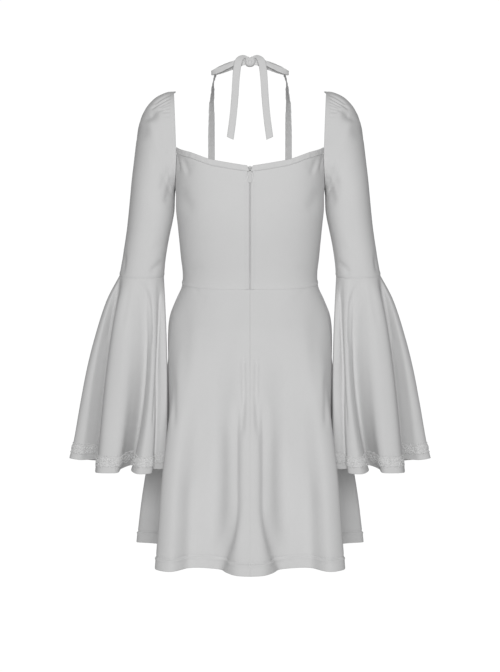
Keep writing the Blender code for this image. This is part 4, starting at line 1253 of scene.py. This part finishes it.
# %% Creases of the skirt
SKIRT_CREASES = [
    Crease("back", [(0.0112, -0.490), (0.0112, -0.530), (0.0104, -0.560), (0.0114, -0.590),
                    (0.0140, -0.640)], 0.0032, 0.0040, 0.030),
    Crease("back", [(0.0170, -0.560), (0.0238, -0.620), (0.0252, -0.700), (0.0266, -0.765),
                    (0.0460, -0.835), (0.0610, -0.875), (0.0700, -0.920)], 0.0092, 0.0076, 0.050),
    Crease("back", [(0.0560, -0.590), (0.0580, -0.680), (0.0600, -0.760), (0.0660, -0.830)],
           0.0180, 0.0036, 0.070),
    Crease("back", [(0.1000, -0.680), (0.1020, -0.780), (0.1050, -0.920)], 0.0110, 0.0030, 0.060),
    Crease("back", [(0.0660, -0.610), (0.0680, -0.700), (0.0700, -0.780)], 0.0230, 0.0024, 0.080),
    Crease("back", [(0.1140, -0.400), (0.1120, -0.500), (0.1100, -0.600)], 0.0130, 0.0020, 0.060),
    Crease("back", [(0.0560, -0.480), (0.0590, -0.600), (0.0600, -0.720)], 0.0120, 0.0016, 0.060),
    Crease("back", [(0.1300, -0.520), (0.1305, -0.560), (0.1280, -0.630)], 0.0046, 0.0024, 0.035),
    Crease("back", [(0.1000, -0.382), (0.0860, -0.398), (0.0700, -0.404)], 0.0050, 0.0008, 0.012),
    Crease("front", [(0.0500, -0.480), (0.0520, -0.620), (0.0570, -0.900)], 0.0080, 0.0030, 0.090),
    Crease("front", [(0.1100, -0.440), (0.1120, -0.600), (0.1250, -0.900)], 0.0090, 0.0034, 0.090),
    Crease("front", [(0.0120, -0.600), (0.0150, -0.740), (0.0200, -0.900)], 0.0070, 0.0026, 0.090),
    Crease("front", [(0.1000, -0.382), (0.0840, -0.400), (0.0660, -0.406)], 0.0050, 0.0010, 0.012),
]
SKIRT_DROP = 0.48
SKIRT_ROW = 0.0047
SKIRT_COLUMN = 0.0036
SKIRT_HEM_STITCH = 0.0205
HEM_LINE_ROWS = (0.0125, 0.0155, 0.0178, 0.0191, 0.0202, 0.0215, 0.0230, 0.0255, 0.0285)
HEM_LINE_REACH = 0.009
HEM_PROUD = 0.0006
HEM_GROOVE = 0.0010
HEM_RIDGE = 0.0011
HEM_PUCKER = ((0.021, 0.00022, 0.0), (0.013, 0.00018, 1.7), (0.034, 0.00025, 0.6))


def skirt_turns(low, high):
    """Turns that are evenly spaced along the hem, and the hem's length between them."""
    fine = np.linspace(low, high, 1200)
    run = distances(skirt_hem(fine))
    return np.interp(steps(run[-1], SKIRT_COLUMN, True, True) * run[-1], run, fine), run[-1]


def skirt_levels():
    """Shares of the drop, closer together at the waist, at the hem and along its stitched line."""
    even = steps(SKIRT_DROP, SKIRT_ROW, near_start=True, near_end=True)
    away = np.abs((1 - even) * SKIRT_DROP - SKIRT_HEM_STITCH) > HEM_LINE_REACH
    return np.sort(np.concatenate([even[away], 1 - np.array(HEM_LINE_ROWS) / SKIRT_DROP]))


def hem_depth(to_hem, run):
    """The turned hem: a doubled band, a stitched groove above it and small puckers along that."""
    above = to_hem - SKIRT_HEM_STITCH
    band = -HEM_PROUD * np.clip(-above / 0.0012, 0, 1)
    groove = HEM_GROOVE * hump(above - 0.0010, 0.0014)
    ridge = -HEM_RIDGE * hump(above + 0.0026, 0.0018)
    puckers = uneven(run, *HEM_PUCKER) * hump(above, 0.007)
    return band + groove + ridge + puckers + roll(to_hem, 0.0018, 0.0009)


def skirt_half(low, high, middle_seam):
    """Grid of one side of the skirt between two turns, creased and hemmed."""
    turns, hem_run = skirt_turns(low, high)
    downs = skirt_levels()[:, None]
    grid = skirt_point(turns[None, :], downs)
    to_hem = (1 - downs) * SKIRT_DROP * np.ones(grid.shape[:2])
    from_waist = downs * SKIRT_DROP * np.ones(grid.shape[:2])
    side_column = -1 if middle_seam else 0
    from_side = np.linalg.norm(grid - grid[:, [side_column]], axis=-1)
    run = np.linspace(0, hem_run, len(turns))
    sink = crease_depth(grid, SKIRT_CREASES)
    sink += sewn(from_waist) + sewn(from_side)
    if middle_seam:
        sink += roll(np.linalg.norm(grid - grid[:, :1], axis=-1), 0.0014, 0.0005)
    sink += hem_depth(to_hem, run)
    return press(grid, sink, turning=-1), hem_run


# %% Back and front of the skirt
half_back, back_hem = skirt_half(0.0, 0.5, True)
half_front, front_hem = skirt_half(0.5, 1.0, False)
for hand, side in HANDS:
    piece = sheet("skirt_back_cloth_" + hand, mirror(half_back, side), CLOTH, flip=side < 0)
    dress_piece(piece, "cloth", "skirt_back_" + hand)
whole_skirt = np.concatenate([half_front, mirror(half_front[:, -2::-1], -1)], axis=1)
piece = dress_piece(sheet("skirt_front_cloth", whole_skirt, CLOTH), "cloth", "skirt_front")
2 * front_hem
print("skirt", half_back.shape, whole_skirt.shape, "hem", round(2 * (back_hem + front_hem), 3), "m")

# %% [markdown]
# ## The tie
#
# Two flat straps come up from the front neck edge, pass round the neck and end in a bow at the nape.
# Each is a turned tube of cloth, pressed flat, so its section is a flat oval with a raised edge. The
# section is swept along a short list of given places, each with the way its face looks.

# %% A flat tie swept along its turns
Turn = namedtuple("Turn", "x y z face_x face_y face_z width")
STRAP_SEWN = [
    Turn(0.0700, -0.0942, -0.1702, 0.12, -1.00, 0.23, 0.012),
    Turn(0.0700, -0.0930, -0.1644, 0.12, -1.00, 0.23, 0.012),
]
NECK_STRAP = STRAP_SEWN + [
    Turn(0.0700, -0.0900, -0.1400, 0.15, -1.00, 0.30, 0.012),
    Turn(0.0695, -0.0760, -0.1000, 0.40, -1.00, 0.60, 0.012),
    Turn(0.0685, -0.0530, -0.0600, 0.80, -0.60, 0.50, 0.012),
    Turn(0.0655, -0.0250, -0.0290, 1.00, -0.25, 0.15, 0.012),
    Turn(0.0600, 0.0080, -0.0112, 1.00, 0.15, 0.00, 0.0115),
    Turn(0.0500, 0.0360, -0.0060, 0.80, 0.60, 0.00, 0.0105),
    Turn(0.0340, 0.0570, -0.0026, 0.45, 0.90, 0.00, 0.0105),
    Turn(0.0190, 0.0670, 0.0000, 0.20, 1.00, 0.00, 0.010),
    Turn(0.0120, 0.0702, 0.0000, 0.00, 1.00, 0.00, 0.008),
    Turn(0.0070, 0.0706, 0.0000, 0.00, 1.00, 0.00, 0.008),
]
BOW_LOOP = [
    Turn(0.0070, 0.0758, 0.0006, 0.00, 1.00, 0.00, 0.011),
    Turn(0.0120, 0.0758, 0.0004, 0.00, 1.00, 0.00, 0.012),
    Turn(0.0200, 0.0788, -0.0004, 0.00, 1.00, 0.15, 0.0105),
    Turn(0.0291, 0.0805, -0.0030, 0.05, 1.00, 0.45, 0.009),
    Turn(0.0420, 0.0810, -0.0090, 0.15, 1.00, 0.45, 0.010),
    Turn(0.0533, 0.0795, -0.0138, 0.35, 1.00, 0.25, 0.0105),
    Turn(0.0620, 0.0755, -0.0170, 0.90, 0.80, 0.05, 0.0090),
    Turn(0.0655, 0.0715, -0.0177, 1.00, 0.05, 0.00, 0.0074),
    Turn(0.0640, 0.0680, -0.0172, 0.80, -0.80, 0.00, 0.0085),
    Turn(0.0560, 0.0665, -0.0150, 0.10, -1.00, 0.00, 0.0105),
    Turn(0.0420, 0.0680, -0.0106, 0.00, -1.00, 0.00, 0.0112),
    Turn(0.0291, 0.0705, -0.0066, 0.00, -1.00, 0.00, 0.0105),
    Turn(0.0190, 0.0728, -0.0038, 0.00, -1.00, 0.00, 0.009),
    Turn(0.0120, 0.0730, -0.0000, 0.00, -1.00, 0.00, 0.008),
    Turn(0.0070, 0.0730, -0.0000, 0.00, -1.00, 0.00, 0.007),
]
BOW_TAIL = [
    Turn(0.0036, 0.0780, 0.0046, 0.00, 1.00, 0.30, 0.005),
    Turn(0.0075, 0.0795, 0.0078, 0.00, 1.00, 0.60, 0.006),
    Turn(0.0118, 0.0808, 0.0082, 0.10, 1.00, 0.60, 0.008),
    Turn(0.0166, 0.0828, 0.0054, 0.20, 1.00, 0.30, 0.0112),
    Turn(0.0202, 0.0846, -0.0010, 0.10, 1.00, 0.10, 0.0130),
    Turn(0.0219, 0.0862, -0.0100, 0.00, 1.00, 0.05, 0.0130),
    Turn(0.0238, 0.0880, -0.0300, 0.00, 1.00, 0.02, 0.0124),
    Turn(0.0257, 0.0900, -0.0600, 0.00, 1.00, 0.02, 0.012),
    Turn(0.0289, 0.0920, -0.0950, 0.00, 1.00, 0.04, 0.012),
    Turn(0.0336, 0.0950, -0.1305, 0.00, 1.00, 0.06, 0.012),
]
TIE_THICKNESS = 0.0018
TIE_STEP = 0.0016
TIE_SECTION = 20
TIE_RIM = 0.28
TIE_RIPPLE = ((0.017, 0.00030, 0.3), (0.0095, 0.00020, 1.2), (0.043, 0.00035, 2.2))
TIE_CUP = (0.051, 0.0006, 0.5)
SLANT_RUN = 0.012
SECTION_STEP = 0.0012


def swept_tie(turns, slant=0.0):
    """Rings of points round a flat tie, and its length."""
    places = np.array([turn[:3] for turn in turns])
    keys = distances(places)
    key = np.linspace(0, keys[-1], round(keys[-1] / TIE_STEP))
    middle = np.stack([curve(keys, places[:, k], key) for k in range(3)], -1)
    face = np.stack([curve(keys, column(turns, name), key) for name in ("face_x", "face_y", "face_z")], -1)
    width = curve(keys, column(turns, "width"), key)
    along = unit(np.gradient(middle, axis=0))
    edge = unit(np.cross(along, face))
    up = np.cross(edge, along)
    around = np.arange(TIE_SECTION) / TIE_SECTION * 2 * np.pi
    over = signed_power(np.cos(around), 0.75)[None, :]
    rim = 1 + TIE_RIM * hump(np.abs(over) - 0.80, 0.16)
    high = signed_power(np.sin(around), 0.7) * rim * TIE_THICKNESS / 2
    ripple = uneven(key, *TIE_RIPPLE)[:, None] + over ** 2 * uneven(key, TIE_CUP)[:, None]
    outwards = over * width[:, None] / 2
    upwards = high + ripple * np.abs(over) ** 1.5
    lengthwise = slant * over * np.clip((key - key[-1] + SLANT_RUN) / SLANT_RUN, 0, 1)[:, None]
    grid = sum(way[:, None] * reach[..., None]
               for way, reach in ((edge, outwards), (up, upwards), (along, lengthwise)))
    return middle[:, None] + grid, keys[-1]


def closed_tube(name, grid, material, flip):
    """A closed tube of rings, with flat ends."""
    global total_triangles
    rows, columns = grid.shape[:2]
    faces = grid_faces(rows, columns, True, flip)
    ends = [list(range(columns)), [(rows - 1) * columns + c for c in range(columns)][::-1]]
    faces += [end[::-1] for end in ends] if not flip else ends
    v = np.repeat(np.arange(rows)[:, None] * TIE_STEP, columns, 1)
    u = np.repeat((np.arange(columns) % (columns // 2))[None, :] * SECTION_STEP, rows, 0)
    total_triangles += 2 * rows * columns + 2 * columns
    return new_object(name, grid.reshape(-1, 3), faces, material, np.stack([u, v], -1).reshape(-1, 2))


# %% Straps, loops and tails
for hand, side in HANDS:
    for word, node, turns, held, slant in (
            ("neck_strap_", "halter_strap_", NECK_STRAP, "hung", 0.0),
            ("bow_loop_cloth_", "bow_loop_", BOW_LOOP, "folded", 0.0),
            ("bow_tail_cloth_", "bow_tail_", BOW_TAIL, "hung", -0.0018)):
        rings, long = swept_tie(turns, slant)
        tie = closed_tube(word + hand, mirror(rings, side), TIE, side > 0)
        dress_piece(tie, "cloth", node + hand)
        long + 0.002
        print(tie.name, round(long, 3), "m long")

# %% [markdown]
# ## The knot
#
# The two ties cross over in a small tight knot. It is a rounded pebble of cloth with a dimple and a
# groove where the last turn tucks in, a notch in its top between the two tails, and wraps across it.

# %% Knot
KNOT_HALF = (0.0098, 0.0076, 0.0090)
KNOT_PLACE = (0, 0.0742, 0.0010)
KNOT_RINGS = 44
KNOT_SIDES = 72
KNOT_POLE = 0.02
NOTCH_DEPTH = 0.26
DIMPLE_DEPTH = 0.34
DIMPLE_SPREAD = 0.24
GROOVE_DEPTH = 0.24
WRAP_DEPTH = 0.00045


def knot_shape():
    """The knot's rings, from top to bottom."""
    rise = np.linspace(KNOT_POLE, np.pi - KNOT_POLE, KNOT_RINGS)[:, None]
    turn = np.arange(KNOT_SIDES)[None, :] / KNOT_SIDES * 2 * np.pi
    across = signed_power(np.sin(rise), 0.72) * signed_power(np.cos(turn), 0.8)
    deep = signed_power(np.sin(rise), 0.72) * signed_power(np.sin(turn), 0.8)
    up = signed_power(np.cos(rise), 0.75) * np.ones_like(turn)
    notch = NOTCH_DEPTH * hump(across, 0.24) * np.clip(up, 0, 1) ** 3
    dimple = DIMPLE_DEPTH * hump(across, DIMPLE_SPREAD) * hump(up + 0.05, DIMPLE_SPREAD) * (deep > 0)
    groove = GROOVE_DEPTH * hump(across, 0.28) * (deep > 0)
    wraps = np.sin(6 * across + 2.5 * up) * 0.6 + np.sin(4 * across - 5 * up + 1) * 0.4
    swell = 1 + WRAP_DEPTH / KNOT_HALF[0] * wraps * np.sin(rise)
    narrow = 1 - 0.30 * np.clip(-up, 0, 1) ** 2
    x = KNOT_HALF[0] * across * swell * narrow
    y = KNOT_HALF[1] * deep * swell * (1 - dimple - groove)
    z = KNOT_HALF[2] * (up * swell - notch)
    return np.stack([x, y, z], -1) + np.array(KNOT_PLACE)


knot = closed_tube("knot_cloth", knot_shape(), TIE, True)
dress_piece(knot, "cloth", "halter_knot")
print("knot", [round(v * 1000, 1) for v in knot.dimensions])

# %% [markdown]
# ## The zip
#
# The closure is a concealed zip: both edges of the back roll over it, so only a dark line shows. Under
# the line lies the tape with a fine coil of teeth. The tape, the slider and its pull are the rigid
# model's own pieces, and they only take a finish here. The tape is toned darker than the cloth, as
# painted shade in the slit between the rolled edges.

# %% Zip coil, tape and enamel
COIL_TOP = -0.1925
COIL_BOTTOM = -0.3980
COIL_PITCH = 0.0012
COIL_SHARES = 10
COIL_HALF_WIDTH = 0.00095
COIL_HALF_DEPTH = 0.00035
COIL_SUNK = 0.00095
WIRE_RADIUS = 0.00019
WIRE_SIDES = 5

teeth = np.arange(COIL_TOP, COIL_BOTTOM, -COIL_PITCH / COIL_SHARES)
phase = (COIL_TOP - teeth) / COIL_PITCH * 2 * np.pi
back_y = torso_point(0.0, teeth)[..., 1]
coil_middle = np.stack([COIL_HALF_WIDTH * np.cos(phase), back_y - COIL_SUNK + COIL_HALF_DEPTH * np.sin(phase),
                        teeth], -1)
ahead = unit(np.gradient(coil_middle, axis=0))
sideways = unit(np.cross(ahead, (0, 0, 1.0)))
upward = np.cross(sideways, ahead)
wire = np.arange(WIRE_SIDES) / WIRE_SIDES * 2 * np.pi
coil_rings = coil_middle[:, None] + WIRE_RADIUS * (np.cos(wire)[None, :, None] * sideways[:, None]
                                                   + np.sin(wire)[None, :, None] * upward[:, None])
coil = dress_piece(closed_tube("zip_coil", coil_rings, THREAD, True), "zip_tape")
# The tape takes the darker tone, which is painted shade in the slit.
for node, material in (("zip_tape", TAPE_WITH_PAINTED_SHADE), ("zip_slider", ENAMEL), ("zip_pull", ENAMEL)):
    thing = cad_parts[node]
    for slot in thing.material_slots:
        slot.material = material
print("zip finished")

# %% [markdown]
# ## Stitches
#
# Fine machine stitches hold the bands, the open shoulder edges and the hems. Each stitch is a small
# dome laid along its line, and a line of them is one mesh.

# %% Rows of stitches
STITCH_LENGTH = 0.0026
STITCH_GAP = 0.0008
STITCH_WIDTH = 0.00028


def stitches(name, places, outs, closed=False):
    """Stitches along a line of surface points, standing on the cloth."""
    if closed:
        places, outs = (np.concatenate([v, v[:1]]) for v in (places, outs))
    run = distances(places)
    middles = np.arange(STITCH_LENGTH, run[-1] - STITCH_LENGTH / 2, STITCH_LENGTH + STITCH_GAP)

    def read_line(values, at):
        return np.stack([np.interp(at, run, values[:, k]) for k in range(3)], -1)

    centre = read_line(places, middles)
    out = read_line(outs, middles)
    half = STITCH_LENGTH / 2
    along = unit(read_line(places, middles + half) - read_line(places, middles - half))
    across = np.cross(out, along)
    return domes(name, THREAD, centre, along * STITCH_LENGTH / 2, across * STITCH_WIDTH, out * STITCH_WIDTH)


def row_at(values, target):
    """The row of a column of falling values that is nearest to a target."""
    return int(np.argmin(np.abs(np.asarray(values) - target)))


# %% Sew the open edges and the hems
SLEEVE_STITCH = 0.0062
SKIRT_STITCH = 0.0199
BAND_STITCH_ROW = 8
hem_row = row_at((1 - skirt_levels()) * SKIRT_DROP, SKIRT_STITCH)
bell_row = row_at(to_hem[:, 0], BELL_HEM_STITCH)
sleeve_row = row_at(from_edge.mean(axis=1), SLEEVE_STITCH)
by_bend = np.argsort(bend)
by_bend = by_bend[np.abs(bend[by_bend]) < math.degrees(CORNER_ANGLE)]
TUBE = {"closed": True}
OPEN = {"turning": -1}
SEAMS = (
    ("sleeve_stitches_", sleeve, TUBE, (sleeve_row, by_bend), False),
    ("bell_stitches_", bell, TUBE, bell_row, True),
    ("back_hem_stitches_", half_back, OPEN, hem_row, False),
    ("front_hem_stitches_", half_front, OPEN, hem_row, False),
    ("back_band_stitches_", back_band, OPEN, BAND_STITCH_ROW, False),
    ("front_band_stitches_", front_band, OPEN, BAND_STITCH_ROW, False),
)
for word, grid, facing, row, closed in SEAMS:
    places, outs = grid[row], outward(grid, **facing)[row]
    for hand, side in HANDS:
        dress_piece(stitches(word + hand, mirror(places, side), mirror(outs, side), closed), "cloth")
print("stitch length", STITCH_LENGTH)
